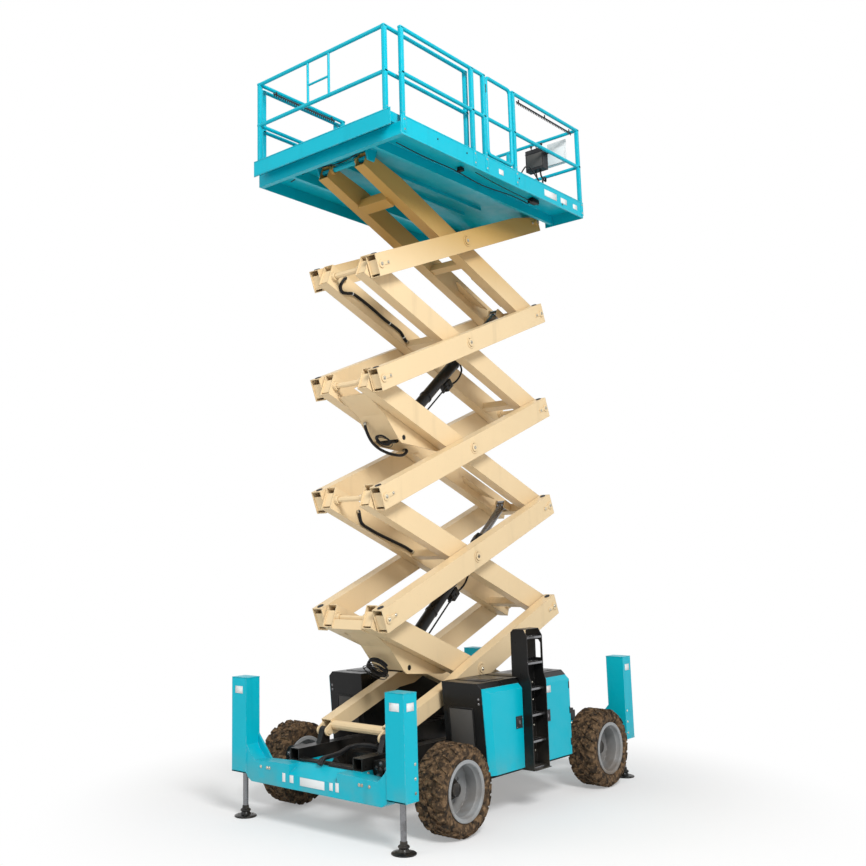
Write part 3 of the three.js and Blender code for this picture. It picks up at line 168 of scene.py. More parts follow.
class Finish:
    """A node material on object coordinates, with helpers for its masks."""

    def __init__(self, name, roughness, metallic=0.0, coat=0.0):
        self.material = bpy.data.materials.new(name)
        self.material.use_nodes = True
        self.tree = self.material.node_tree
        self.shader = self.tree.nodes["Principled BSDF"]
        fixed = {"Metallic": metallic, "Coat Weight": coat, "Coat Roughness": 0.2, "Specular IOR Level": 0.18}
        for socket, value in fixed.items():
            self.shader.inputs[socket].default_value = value
        self.place = self.node("TexCoord", {}).outputs["Object"]
        self.ends_in("Roughness", self.between(self.noise(9), 0.3, 0.7, roughness - 0.07, roughness + 0.07))

    def node(self, kind, inputs, **settings):
        return add_node(self.tree, kind, inputs, **settings)

    def ends_in(self, socket, output):
        self.tree.links.new(output, self.shader.inputs[socket])

    def noise(self, scale, detail=4.0, stretch=(1, 1, 1)):
        place = self.node("Mapping", {"Vector": self.place, "Scale": stretch}).outputs["Vector"]
        return self.node("TexNoise", {"Vector": place, "Scale": scale, "Detail": detail}).outputs["Fac"]

    def between(self, value, low, high, out_low=0.0, out_high=1.0):
        limits = {"From Min": low, "From Max": high, "To Min": out_low, "To Max": out_high}
        ramp = self.node("MapRange", {"Value": value, **limits}, interpolation_type="SMOOTHSTEP")
        return ramp.outputs["Result"]

    def times(self, a, b):
        return self.node("Math", {0: a, 1: b}, operation="MULTIPLY").outputs[0]

    def mixed(self, mask, below, above):
        """One colour below the mask and another above it."""
        below, above = ((*c, 1) if isinstance(c, tuple) else c for c in (below, above))
        return self.node("Mix", {0: mask, 6: below, 7: above}, data_type="RGBA").outputs[2]

    def low_down(self, top, bottom=0.0):
        """1 near the ground, 0 over top."""
        height = self.node("SeparateXYZ", {0: self.place}).outputs["Z"]
        return self.between(height, bottom, top, 1.0, 0.0)

    def edges(self, width):
        """A normal that rounds the edges, and 1 along them, from how far it leans away from the flat one."""
        soft = self.node("Bevel", {"Radius": width}, samples=4).outputs["Normal"]
        flat = self.node("NewGeometry", {}).outputs["True Normal"]
        lean = self.node("VectorMath", {0: soft, 1: flat}, operation="DOT_PRODUCT").outputs["Value"]
        return soft, self.between(lean, 0.8, 0.995, 1.0, 0.0)

    def relief(self, height, distance, normal=None):
        inputs = {"Distance": distance, "Height": height}
        if normal is not None:
            inputs["Normal"] = normal
        self.ends_in("Normal", self.node("Bump", inputs).outputs["Normal"])

    def colour(self, output):
        self.ends_in("Base Color", output)


def shade(colour, factor):
    return tuple(min(1.0, channel * factor) for channel in colour)


DECK_SHADE_HEIGHTS = (6.3, 5.3)      # painted shade: the arms' paint turns golden between these heights, top and bottom, for the platform's shadow under the deck


def paint(name, colour, roughness, dust, dust_top, wear, coat=0.04, patina=0.1, deck_shade_colour=None):
    """Sprayed paint: colour drift, streaks that ran down, dust near the ground, worn edges, orange peel, and,
    where a shade colour is given, painted shade high up under the deck.
    """
    finish = Finish(name, roughness, coat=coat)
    drift = finish.mixed(finish.noise(0.9), shade(colour, 1 - patina), shade(colour, 1 + patina))
    streak = finish.between(finish.noise(7, 5, (1, 1, 0.09)), 0.56, 0.8, 0.0, 0.42)
    marked = finish.mixed(streak, drift, shade(colour, 0.72))
    speck = finish.between(finish.noise(55, 2), 0.66, 0.78, 0.0, 0.5)
    marked = finish.mixed(speck, marked, shade(colour, 0.8))
    # painted shade: high under the deck the colour turns to the given shade colour, for the platform's shadow
    if deck_shade_colour:
        marked = finish.mixed(finish.low_down(*DECK_SHADE_HEIGHTS), deck_shade_colour, marked)
    settled = finish.times(finish.low_down(dust_top), finish.between(finish.noise(3.2, 7), 0.38, 0.7))
    dusty = finish.mixed(settled, marked, dust)
    rounded, edge = finish.edges(0.006)
    chipped = finish.times(edge, finish.between(finish.noise(24, 5), 0.44, 0.62, 0.0, 0.75))
    finish.colour(finish.mixed(chipped, dusty, wear))
    finish.relief(finish.noise(160, 2), 0.0004, rounded)
    return finish.material


def metal(name, colour, roughness, grime):
    """Bare steel with fine rings across it and oily patches."""
    finish = Finish(name, roughness, metallic=0.85)
    grain = finish.between(finish.noise(60, 3, (1, 1, 6)), 0.3, 0.7, 0.0, 0.35)
    patches = finish.between(finish.noise(5, 6), 0.5, 0.72, 0.0, 0.8)
    finish.colour(finish.mixed(patches, finish.mixed(grain, colour, shade(colour, 0.6)), grime))
    rounded, _ = finish.edges(0.003)
    finish.relief(finish.noise(220, 2), 0.0002, rounded)
    return finish.material


def moulded(name, colour, roughness, pale, grain_scale=240):
    """Rubber or plastic with a fine grain, rubbed pale in patches."""
    finish = Finish(name, roughness)
    rubbed = finish.between(finish.noise(6, 6), 0.52, 0.76, 0.0, 0.6)
    finish.colour(finish.mixed(rubbed, colour, pale))
    rounded, _ = finish.edges(0.003)
    finish.relief(finish.noise(grain_scale, 3), 0.0005, rounded)
    return finish.material


def muddy_rubber():
    finish = Finish("tyre_rubber", 0.88)
    wet = finish.between(finish.noise(17, 8), 0.36, 0.66)
    mud = finish.mixed(wet, (0.05, 0.033, 0.02), (0.175, 0.108, 0.058))
    dry = finish.between(finish.noise(34, 8), 0.54, 0.7)
    mud = finish.mixed(dry, mud, (0.235, 0.15, 0.082))
    bare = finish.between(finish.noise(20, 8), 0.5, 0.66)
    finish.colour(finish.mixed(bare, mud, (0.022, 0.017, 0.013)))
    finish.relief(finish.noise(42, 8), 0.014)
    return finish.material


DUST = (0.33, 0.27, 0.2)
CREAM = (0.78, 0.6, 0.36)
# painted shade: golden tone of the arms in the platform's shadow under the deck
DECK_SHADE_GOLDEN = (0.5, 0.3, 0.085)
TURQUOISE = (0.0, 0.435, 0.555)
BLACK = (0.008, 0.008, 0.008)
FINISH = {
    # the arms' paint carries painted shade in a golden tone under the deck
    "arm_paint": paint("arm_paint", CREAM, 0.42, DUST, 0.9, (0.38, 0.26, 0.13), patina=0.06,
                       deck_shade_colour=DECK_SHADE_GOLDEN),
    "turquoise_paint": paint("turquoise_paint", TURQUOISE, 0.36, (0.16, 0.3, 0.3), 0.75, (0.3, 0.55, 0.58)),
    "black_paint": paint("black_paint", BLACK, 0.34, (0.075, 0.062, 0.048), 1.0, (0.1, 0.095, 0.09),
                         coat=0.12),
    "rim_paint": paint("rim_paint", (0.3, 0.31, 0.315), 0.36, (0.15, 0.11, 0.075), 0.6, (0.62, 0.62, 0.6)),
    "tyre_rubber": muddy_rubber(),
    "bright_steel": metal("bright_steel", (0.25, 0.25, 0.26), 0.25, (0.06, 0.055, 0.05)),
    "hose_rubber": moulded("hose_rubber", (0.012, 0.012, 0.013), 0.42, (0.05, 0.046, 0.042)),
    "dark_plastic": moulded("dark_plastic", (0.022, 0.022, 0.024), 0.45, (0.075, 0.07, 0.065)),
    "engine_iron": metal("engine_iron", (0.12, 0.12, 0.12), 0.55, (0.04, 0.035, 0.03)),
}
PLATE = paint("blank_plate", (0.74, 0.77, 0.77), 0.38, DUST, 0.4, (0.45, 0.46, 0.46), patina=0.04)
PANEL = paint("box_panel", (0.075, 0.072, 0.068), 0.55, (0.13, 0.11, 0.09), 1.1, (0.16, 0.15, 0.14))
ZINC = metal("zinc_bolt", (0.55, 0.52, 0.44), 0.32, (0.16, 0.13, 0.09))
PAD = moulded("slide_pad", (0.028, 0.03, 0.034), 0.5, (0.1, 0.1, 0.1))

for row in frame["record"]["subparts"]:
    node = frame["nodes"][row["node"]]
    node.data.materials.clear()
    node.data.materials.append(FINISH[row["material_slot"]])

# ---- mesh code

LEVEL = Matrix.Identity(4)
AXIS = {"y": Vector((0, 1, 0)), "z": Vector((0, 0, 1))}
SIDES = (("left", 1), ("right", -1))
MERGE_WITHIN = 1e-6


def facing(direction):
    """A turn that points local Z along a direction."""
    return AXIS["z"].rotation_difference(Vector(direction)).to_matrix().to_4x4()


def around(middle, half):
    """The span that reaches half to each side of the middle."""
    return (middle - half, middle + half)


def polar(r, angle, height):
    return Vector((r * math.cos(angle), r * math.sin(angle), height))


def circle(count, r, start=0.0):
    """Evenly spaced points around a circle."""
    angles = [start + 2 * math.pi * k / count for k in range(count)]
    return [(r * math.cos(a), r * math.sin(a)) for a in angles]


class Piece:
    """Gathers solids into one mesh; every solid is given in the frame of `place`."""

    def __init__(self, place=LEVEL):
        self.bm = bmesh.new()
        self.place = place

    def block(self, x, y, z, bevel=0.003):
        centre = Vector(((x[0] + x[1]) / 2, (y[0] + y[1]) / 2, (z[0] + z[1]) / 2))
        size = Vector((abs(x[1] - x[0]), abs(y[1] - y[0]), abs(z[1] - z[0])))
        matrix = self.place @ Matrix.Translation(centre) @ Matrix.Diagonal((*size, 1))
        corners = bmesh.ops.create_cube(self.bm, size=1, matrix=matrix)["verts"]
        bevel = min(bevel, min(size) * 0.3)
        sides = list(dict.fromkeys(edge for corner in corners for edge in corner.link_edges))
        bmesh.ops.bevel(self.bm, geom=sides, offset=bevel, segments=2, profile=0.5, affect="EDGES")

    def rod(self, start, end, r, r_end=None, sides=24, rim=0.0015):
        start = self.place @ Vector(start)
        end = self.place @ Vector(end)
        along = end - start
        turn = along.to_track_quat("Z", "Y").to_matrix().to_4x4()
        length = along.length
        r_end = r if r_end is None else r_end
        rim = min(rim, length * 0.3, r * 0.3)
        profile = [(0, 0), (r - rim, 0), (r, rim), (r_end, length - rim), (r_end - rim, length), (0, length)]
        self.turned(profile, Matrix.Translation(start) @ turn, sides, placed=True)

    def turned(self, profile, axis_place, sides=48, placed=False):
        """Turns (radius, height) points about the local Z of axis_place."""
        matrix = axis_place if placed else self.place @ axis_place
        rings = []
        for k in range(sides):
            angle = 2 * math.pi * k / sides
            rings.append([self.bm.verts.new(matrix @ polar(r, angle, h)) for r, h in profile])
        for ring, after in zip(rings, rings[1:] + rings[:1]):
            for i in range(len(profile) - 1):
                if profile[i][0] == 0 and profile[i + 1][0] == 0:
                    continue
                self.bm.faces.new((ring[i], after[i], after[i + 1], ring[i + 1]))

    def tube(self, points, r, sides=12):
        """A round section swept along the points, with flat ends."""
        points = [self.place @ Vector(point) for point in points]
        tangents = [(points[min(i + 1, len(points) - 1)] - points[max(i - 1, 0)]).normalized()
                    for i in range(len(points))]
        across = tangents[0].orthogonal().normalized()
        rings = []
        for point, tangent in zip(points, tangents):
            across = (across - tangent * across.dot(tangent)).normalized()
            other = tangent.cross(across)
            rings.append([self.bm.verts.new(point + r * (math.cos(a) * across + math.sin(a) * other))
                          for a in (2 * math.pi * k / sides for k in range(sides))])
        for ring, after in zip(rings, rings[1:]):
            for k in range(sides):
                n = (k + 1) % sides
                self.bm.faces.new((ring[k], ring[n], after[n], after[k]))
        self.bm.faces.new(rings[0][::-1])
        self.bm.faces.new(rings[-1])

    def plate(self, outline, low, high, bevel):
        """An outline of (x, z) points given a thickness from y low to y high."""
        rows = [[self.bm.verts.new(self.place @ Vector((x, y, z))) for x, z in outline] for y in (low, high)]
        faces = [self.bm.faces.new(rows[0][::-1]), self.bm.faces.new(rows[1])]
        for i in range(len(outline)):
            n = (i + 1) % len(outline)
            faces.append(self.bm.faces.new((rows[0][i], rows[0][n], rows[1][n], rows[1][i])))
        sides = list(dict.fromkeys(edge for face in faces[:2] for edge in face.edges))
        bevel = min(bevel, (high - low) * 0.3)
        bmesh.ops.bevel(self.bm, geom=sides, offset=bevel, segments=1, affect="EDGES")

    def bolt(self, at, axis, size=0.012, washer=True):
        """A hexagon head with its washer, standing out along a signed axis; size is the head's radius."""
        at, axis = Vector(at), Vector(axis)
        if washer:
            self.rod(at - 0.002 * axis, at + 0.0025 * axis, size * 1.55, sides=20, rim=0.0006)
        self.rod(at, at + size * 0.75 * axis, size, sides=6, rim=0.0014)
        self.rod(at + size * 0.74 * axis, at + size * 0.95 * axis, size * 0.5, sides=12, rim=0.001)

    def done(self, name, body, slot, material=None, stands_for=(), sharp=38):
        bmesh.ops.remove_doubles(self.bm, verts=self.bm.verts, dist=MERGE_WITHIN)
        bmesh.ops.dissolve_degenerate(self.bm, edges=self.bm.edges, dist=MERGE_WITHIN / 10)
        bmesh.ops.recalc_face_normals(self.bm, faces=self.bm.faces)
        mesh = bpy.data.meshes.new(name)
        self.bm.to_mesh(mesh)
        self.bm.free()
        mesh.shade_smooth()
        mesh.set_sharp_from_angle(angle=math.radians(sharp))
        mesh.materials.append(material or FINISH[slot])
        piece = add_object(name, mesh)
        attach(piece, body)
        if stands_for:
            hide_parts(*stands_for)

    def done_zinc(self, name, body="chassis"):
        self.done(name, body, "bright_steel", ZINC)

    def done_blank(self, name, body="chassis"):
        self.done(name, body, "rim_paint", PLATE)


def smooth_path(points, steps=8):
    """A Catmull-Rom curve through the points."""
    points = [Vector(point) for point in points]
    ends = [points[0] * 2 - points[1]] + points + [points[-1] * 2 - points[-2]]
    path = []
    for p0, p1, p2, p3 in zip(ends, ends[1:], ends[2:], ends[3:]):
        for k in range(steps):
            t = k / steps
            path.append(0.5 * (2 * p1 + (p2 - p0) * t + (2 * p0 - 5 * p1 + 4 * p2 - p3) * t ** 2
                               + (3 * p1 - p0 - 3 * p2 + p3) * t ** 3))
    return path + [points[-1]]


def rounded_path(points, radius, steps=6):
    """Straight runs with an arc-like bend at each inner corner."""
    points = [Vector(point) for point in points]
    path = [points[0]]
    for before, corner, after in zip(points, points[1:], points[2:]):
        start = corner + (before - corner).normalized() * radius
        end = corner + (after - corner).normalized() * radius
        for k in range(steps + 1):
            t = k / steps
            path.append((1 - t) ** 2 * start + 2 * t * (1 - t) * corner + t ** 2 * end)
    return path + [points[-1]]


# ---- places, worked out from the frame

JOINT = {joint["name"]: joint for joint in frame["joints"]}
STAGES = 5
MIDDLE_X, _, FIRST_Z = JOINT["middle_pin_1"]["pos_m"]
STAGE_RISE = JOINT["middle_pin_2"]["pos_m"][2] - FIRST_Z
FRONT_PIN = JOINT["front_pin_1"]["pos_m"]
HALF_ARM = math.hypot(FRONT_PIN[0] - MIDDLE_X, FRONT_PIN[2] - FIRST_Z)
REST = math.atan2(FRONT_PIN[2] - FIRST_Z, FRONT_PIN[0] - MIDDLE_X)
ARM_HALF_DEPTH = 0.1175
OUTER_FACE_Y = 0.464
INNER_IN_Y = 0.196
PIN_END_Y = 0.472
DECK_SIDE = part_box("platform_left_side")
DECK_FACE_Y = DECK_SIDE[1].y
DECK_BOTTOM, TOE_TOP = DECK_SIDE[0].z, DECK_SIDE[1].z
DECK_REAR_X, DECK_FRONT_X = DECK_SIDE[0].x, DECK_SIDE[1].x
RAIL_R = 0.021
TOP_RAIL_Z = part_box("platform_right_rails")[1].z - RAIL_R
MID_RAIL_Z = DECK_BOTTOM + 0.655
RAIL_Y = DECK_FACE_Y - RAIL_R
GATE_REAR_X, GATE_FRONT_X = -0.25, 0.33
FOURTH_POST_X = 0.55
RAIL_REAR_X = DECK_REAR_X + RAIL_R
RAIL_FRONT_X = DECK_FRONT_X - 0.05
BOX_FACE_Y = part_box("left_front_door")[1].y
JACK_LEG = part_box("front_left_jack_leg")
JACK_X, JACK_Y = (JACK_LEG[0].x + JACK_LEG[1].x) / 2, (JACK_LEG[0].y + JACK_LEG[1].y) / 2
POST_HALF_X, POST_HALF_Y = 0.09, 0.105
POST_X = JACK_X + POST_HALF_X


def on_frame(kind, stage):
    """The place of an arm frame: local X along its arms, local Z across them, origin at its middle pin."""
    lean = REST if kind == "inner" else -REST
    along = Vector((math.cos(lean), 0, math.sin(lean)))
    across = Vector((-math.sin(lean), 0, math.cos(lean)))
    turn = Matrix((along, AXIS["y"], across)).transposed().to_4x4()
    return Matrix.Translation((MIDDLE_X, 0, FIRST_Z + (stage - 1) * STAGE_RISE)) @ turn


# ---- arm frames: pins, pads, welds

KEEPER_Y = OUTER_FACE_Y + 0.007
PIN_HEAD_Y = PIN_END_Y + 0.004
MIDDLE_HEAD_Y = PIN_END_Y + 0.006
OUTER_PAD_Y, INNER_PAD_Y = 0.4, 0.26


def wear_pad(piece, u, y, r, thick):
    """An oval pad on top of an arm's end."""
    oval = Matrix.Translation((u, y, ARM_HALF_DEPTH)) @ Matrix.Diagonal((1, 0.72, 1, 1))
    piece.turned([(0, 0), (r, 0), (r - 0.003, thick - 0.003), (r / 2, thick), (0, thick)], oval, 28)


def arm_hardware(stage):
    """Pin heads with keeper plates, wear pads on the arms' ends, and weld beads, on one pair of frames."""
    outer, inner = on_frame("outer", stage), on_frame("inner", stage)
    heads, bolts, pads = Piece(outer), Piece(outer), Piece(outer)
    middle, middle_bolts, inner_pads = Piece(inner), Piece(inner), Piece(inner)
    top = stage == STAGES
    for side in (-1, 1):
        out = Vector((0, side, 0))
        face = side * OUTER_FACE_Y
        for end in (-1,) if stage == 1 else (-1, 1):
            u = end * HALF_ARM
            heads.rod((u, face, 0), (u, side * PIN_HEAD_Y, 0), 0.041)
            keeper = (u - end * 0.135, u - end * 0.015)
            heads.block(keeper, (face, side * KEEPER_Y), (-0.02, 0.02), 0.002)
            bolts.bolt((u - end * 0.11, side * KEEPER_Y, 0), out, 0.01)
            bolts.bolt((u, side * PIN_HEAD_Y, 0), out, 0.013)
            if not (top and end == -1):
                wear_pad(pads, u, side * OUTER_PAD_Y, 0.04, 0.01)
        ring = [(0.048, 0), (0.066, 0), (0.066, 0.006), (0.048, 0.006), (0.048, 0)]
        heads.turned(ring, Matrix.Translation((0, face, 0)) @ facing(out), 40)
        middle.rod((0, side * PIN_END_Y, 0), (0, side * MIDDLE_HEAD_Y, 0), 0.044, sides=32)
        middle_bolts.bolt((0, side * MIDDLE_HEAD_Y, 0), out, 0.013)
        for end in (-1,) if top else (-1, 1):
            u = end * HALF_ARM
            weld = [(0.046, 0), (0.053, 0), (0.046, 0.008), (0.046, 0)]
            middle.turned(weld, Matrix.Translation((u, side * INNER_IN_Y, 0)) @ facing(-out), 24)
            wear_pad(inner_pads, u, side * INNER_PAD_Y, 0.036, 0.009)
    heads.done(f"outer_pin_heads_{stage}", f"outer_stage_{stage}", "arm_paint")
    bolts.done_zinc(f"outer_pin_bolts_{stage}", f"outer_stage_{stage}")
    pads.done(f"outer_arm_pads_{stage}", f"outer_stage_{stage}", "dark_plastic", PAD)
    middle.done(f"inner_pin_heads_{stage}", f"inner_stage_{stage}", "arm_paint")
    middle_bolts.done_zinc(f"inner_pin_bolts_{stage}", f"inner_stage_{stage}")
    inner_pads.done(f"inner_arm_pads_{stage}", f"inner_stage_{stage}", "dark_plastic", PAD)


def base_pins():
    """Pins of the lowest arms in their ears on the rails."""
    x, _, z = JOINT["lift"]["pos_m"]
    pins, bolts = Piece(), Piece()
    for side in (-1, 1):
        pins.rod((x, side * (OUTER_FACE_Y - 0.001), z), (x, side * PIN_HEAD_Y, z), 0.038)
        bolts.bolt((x, side * PIN_HEAD_Y, z), (0, side, 0), 0.014)
    pins.done("base_pin_heads", "outer_stage_1", "arm_paint")
    bolts.done_zinc("base_pin_bolts", "outer_stage_1")


for stage in range(1, STAGES + 1):
    arm_hardware(stage)
base_pins()

# ---- lift cylinders

BARREL_R, BARREL_LENGTH, ROD_R, EYE_R = 0.068, 2.07, 0.042, 0.055
FOOT_HALF_Y, EYE_HALF_Y, PLATE_OUT_Y, FOOT_PIN_R = 0.085, 0.045, 0.19, 0.026
GLAND_LOW = BARREL_LENGTH - 0.08
BORE_R = ROD_R + 0.004
PIPE_CLIPS = (0.4, 0.8, 1.5, 1.85)


def lift_cylinder(name):
    """Barrel with foot, hexagon gland, valve block, feed pipe and hose loop, and the rod with its eye."""
    foot = Vector(JOINT[f"{name}_barrel_pin"]["pos_m"])
    up = Vector(JOINT[f"{name}_rod_slide"]["axis"])
    place = Matrix.Translation(foot) @ Matrix((AXIS["y"].cross(up), AXIS["y"], up)).transposed().to_4x4()
    corners = [v.co - foot for v in frame["nodes"][f"{name}_lift_rod"].data.vertices]
    length = max(corner.dot(up) for corner in corners) - EYE_R
    barrel = Piece(place)
    b = BARREL_R
    barrel.turned([(0, 0.058), (b - 0.006, 0.058), (b, 0.066), (b, 0.15), (b - 0.004, 0.154),
                   (b - 0.004, 1.93), (b, 1.935), (b + 0.008, 1.945), (b + 0.008, 1.985), (b, 1.992),
                   (b, 2.0)], LEVEL, 56)
    barrel.turned([(BORE_R, GLAND_LOW), (b + 0.01, GLAND_LOW), (b + 0.014, GLAND_LOW + 0.006),
                   (b + 0.014, BARREL_LENGTH - 0.008), (b + 0.008, BARREL_LENGTH),
                   (BORE_R + 0.006, BARREL_LENGTH), (BORE_R, BARREL_LENGTH - 0.01), (BORE_R, GLAND_LOW)],
                  LEVEL, 6)
    barrel.turned([(0.074, 1.998), (b, 2.0)], LEVEL, 56)
    barrel.block((-0.045, 0.045), around(0, FOOT_HALF_Y), (0, 0.07), 0.006)
    barrel.rod((0, -FOOT_HALF_Y, 0), (0, FOOT_HALF_Y, 0), 0.05, sides=32)
    barrel.rod((0, -PLATE_OUT_Y, 0), (0, PLATE_OUT_Y, 0), FOOT_PIN_R)
    barrel.block((-0.16, 0.01 - b), (-0.048, 0.048), (1.16, 1.29), 0.006)
    barrel.rod((-0.118, -0.06, 1.225), (-0.118, 0.06, 1.225), 0.016, sides=6)
    barrel.rod((-0.135, 0, 1.12), (-0.135, 0, 1.165), 0.018, sides=16)
    pipe = rounded_path([(-0.095, 0.05, 1.18), (-0.095, 0.05, 0.24), (-0.06, 0.03, 0.18)], 0.04)
    barrel.tube(pipe, 0.009)
    for height in PIPE_CLIPS:
        barrel.turned([(b - 0.005, height), (b + 0.003, height + 0.002), (b + 0.003, height + 0.026),
                       (b - 0.005, height + 0.028)], LEVEL, 40)
    barrel.done(f"{name}_barrel_shell", f"{name}_barrel", "black_paint", stands_for=[f"{name}_lift_barrel"])
    loop = Piece(place)
    loop.tube(smooth_path([(-0.14, 0, 1.28), (-0.172, 0, 1.39), (-0.176, 0, 1.5), (-0.14, 0, 1.6),
                           (-0.066, 0, 1.625)]), 0.011)
    loop.done(f"{name}_barrel_hose", f"{name}_barrel", "hose_rubber")
    rod = Piece(place)
    rod.rod((0, 0, 0.76), (0, 0, length - 0.03), ROD_R, sides=40)
    rod.turned([(FOOT_PIN_R, -EYE_HALF_Y), (EYE_R - 0.003, -EYE_HALF_Y), (EYE_R, -EYE_HALF_Y + 0.003),
                (EYE_R, EYE_HALF_Y - 0.003), (EYE_R - 0.003, EYE_HALF_Y), (FOOT_PIN_R, EYE_HALF_Y),
                (FOOT_PIN_R, -EYE_HALF_Y)], Matrix.Translation((0, 0, length)) @ facing((0, -1, 0)), 40)
    rod.done(f"{name}_rod_shell", f"{name}_rod", "bright_steel", stands_for=[f"{name}_lift_rod"])


lift_cylinder("lower")
lift_cylinder("upper")

# ---- hoses

BESIDE_Y, LEAVING_Y, ENTERING_Y = -0.178, -0.17, -0.1904


def beside_arm(u, n, run):
    """A hose that leaves its arm's side at (u, n) and then runs beside the arm."""
    return [(u, ENTERING_Y, n), (u, LEAVING_Y, n)] + [(u, BESIDE_Y, n) for u, n in run]


FRAME_HOSES = {
    "upper_frame_hose": (4, 0.017, beside_arm(1.47, 0.062, (
        (1.49, 0.01), (1.5, -0.06), (1.455, -0.1), (1.38, -0.07), (1.28, -0.024), (1.02, -0.014),
        (0.737, -0.021), (0.49, -0.012), (0.4, -0.04), (0.35, -0.06), (0.3056, -0.06)))),
    "lower_frame_hose": (2, 0.017, beside_arm(1.282, 0.004, (
        (1.24, -0.04), (1.182, -0.09), (1.04, -0.096), (0.886, -0.092), (0.487, -0.062), (0.35, -0.062),
        (0.3056, -0.062)))),
    "middle_frame_hose": (3, 0.016, [
        (1.15, -0.11, -0.199), (1.11, -0.11, -0.262), (1.0, -0.11, -0.336), (0.88, -0.11, -0.362),
        (0.74, -0.11, -0.352), (0.6, -0.11, -0.318), (0.47, -0.114, -0.262), (0.412, -0.118, -0.195),
        (0.408, -0.135, -0.168), (0.408, -0.1707, -0.168)]),
}
TIED_HOSE = "upper_frame_hose"
TIES_AT = (46, 66, 80)


def frame_hose(name, stage, r, points):
    """A hose held beside an arm, its end fittings, and the pale ties of the tied one."""
    body = f"inner_stage_{stage}"
    place = on_frame("inner", stage)
    hose, fittings = Piece(place), Piece(place)
    path = smooth_path(points)
    hose.tube(path, r)
    hose.done(f"{name}_skin", body, "hose_rubber", stands_for=[name])
    for near, far in ((path[0], path[4]), (path[-1], path[-5])):
        fittings.rod(near, near + (far - near).normalized() * 0.03, r * 1.25, sides=6)
    fittings.done_zinc(f"{name}_fittings", body)
    if name == TIED_HOSE:
        ties = Piece(place)
        for k in TIES_AT:
            towards = (path[k + 1] - path[k]).normalized()
            ties.rod(path[k], path[k] + towards * 0.012, r * 1.12, sides=20)
        ties.done_blank(f"{name}_ties", body)


def coiled_hose():
    """Two turns that wind outwards on a slant, below the first inner frame."""
    radius, turns, steps, growth = 0.105, 2, 36, 0.0264
    slant_u, slant_n = 0.904, 0.428
    points = []
    for i in range(turns * steps + 1):
        angle = i * 2 * math.pi / steps
        out = 0.024 + growth * i / steps
        along = radius * math.sin(angle)
        points.append((1.069 + slant_u * along + slant_n * out, radius * math.cos(angle),
                       -0.29 + slant_n * along - slant_u * out))
    coil = Piece(on_frame("inner", 1))
    coil.tube(points, 0.012)
    coil.done("coiled_hose_skin", "inner_stage_1", "hose_rubber", stands_for=["coiled_hose"])


def spare_loops(name, stage, centre, radius, count):
    """A bundle of thin hose loops hanging beside a bracket."""
    bundle = Piece(on_frame("inner", stage))
    u, y, n = centre
    for k in range(count):
        r = radius * random.uniform(0.72, 1.12)
        tilt = random.uniform(-0.25, 0.25)
        du, dy, dn = (random.uniform(-0.028, 0.028) for _ in range(3))
        ring = []
        for i in range(33):
            a = 2 * math.pi * i / 32
            ring.append((u + du + r * math.sin(a) * 0.95, y + dy + 0.9 * r * math.cos(a),
                         n + dn + r * math.sin(a) * (0.42 + tilt) * 0.6 - 0.004 * k))
        bundle.tube(ring, 0.0045, 8)
    bundle.done(name, f"inner_stage_{stage}", "hose_rubber")


def chassis_hoses():
    hoses = Piece()
    hoses.tube(smooth_path([
        (1.932, -0.03, 0.596), (1.89, -0.025, 0.645), (1.7, 0.0, 0.668), (1.56, 0.01, 0.705),
        (1.47, 0.09, 0.722), (1.4, 0.2, 0.712), (1.345, 0.3, 0.668), (1.345, 0.3428, 0.668)]), 0.022, 16)
    hoses.tube(smooth_path([
        (1.93, -0.004, 0.6), (1.882, 0.0, 0.656), (1.7, 0.026, 0.68), (1.56, 0.034, 0.716),
        (1.48, 0.108, 0.734), (1.42, 0.19, 0.722)]), 0.013, 14)
    hoses.done("chassis_hoses_skin", "chassis", "hose_rubber", stands_for=["chassis_hoses"])


for name, (stage, r, points) in FRAME_HOSES.items():
    frame_hose(name, stage, r, points)
coiled_hose()
spare_loops("coil_loops", 1, (1.075, 0.0, -0.345), 0.13, 7)
spare_loops("bracket_loops", 3, (0.98, 0.05, -0.335), 0.085, 6)
chassis_hoses()

# ---- wheels

TYRE_R, TYRE_HALF_WIDTH, TYRE_MIDDLE_Y = 0.41, 0.165, 1.017
RIM_BARREL_R, RIM_FLANGE_R, RIM_WALL = 0.245, 0.272, 0.01
DISC_OUT = 0.985 - TYRE_MIDDLE_Y
LUG_COUNT = 22
WHEEL_NUTS, NUT_CIRCLE_R = 10, 0.12
CAP_BOLTS, CAP_CIRCLE_R = 6, 0.055


def wheel_place(x, side):
    """Local Z points outwards along the axle."""
    return Matrix.Translation((x, side * TYRE_MIDDLE_Y, TYRE_R)) @ facing((0, side, 0))


def tread_lug(piece, place, angle, width, inner_h, outer_h, slant, r_in, r_edge):
    """A block of tread from height inner_h to outer_h, leaning over the shoulder at its outer end."""
    rows = []
    stations = ((inner_h, TYRE_R - 0.003, 0.72, -slant),
                (0.6 * outer_h + 0.4 * inner_h, TYRE_R - 0.001, 1.0, 0.0),
                (outer_h, r_edge, 1.08, slant))
    for h, top, spread, shift in stations:
        for level, grow in ((r_in, 1.12), (top, 0.86)):
            for turn in (-1, 1):
                a = angle + shift + turn * width * spread * grow / 2 + random.uniform(-0.006, 0.006)
                r = level + (random.uniform(-0.003, 0.0) if level == top else 0.0)
                rows.append(piece.bm.verts.new(place @ polar(r, a, h)))
    for k in (0, 4):
        a0, a1, b0, b1, c0, c1, d0, d1 = rows[k:k + 8]
        for quad in ((b0, b1, d1, d0), (a0, b0, d0, c0), (a1, c1, d1, b1), (a0, c0, c1, a1)):
            piece.bm.faces.new(quad)
    piece.bm.faces.new((rows[0], rows[1], rows[3], rows[2]))
    piece.bm.faces.new((rows[8], rows[10], rows[11], rows[9]))


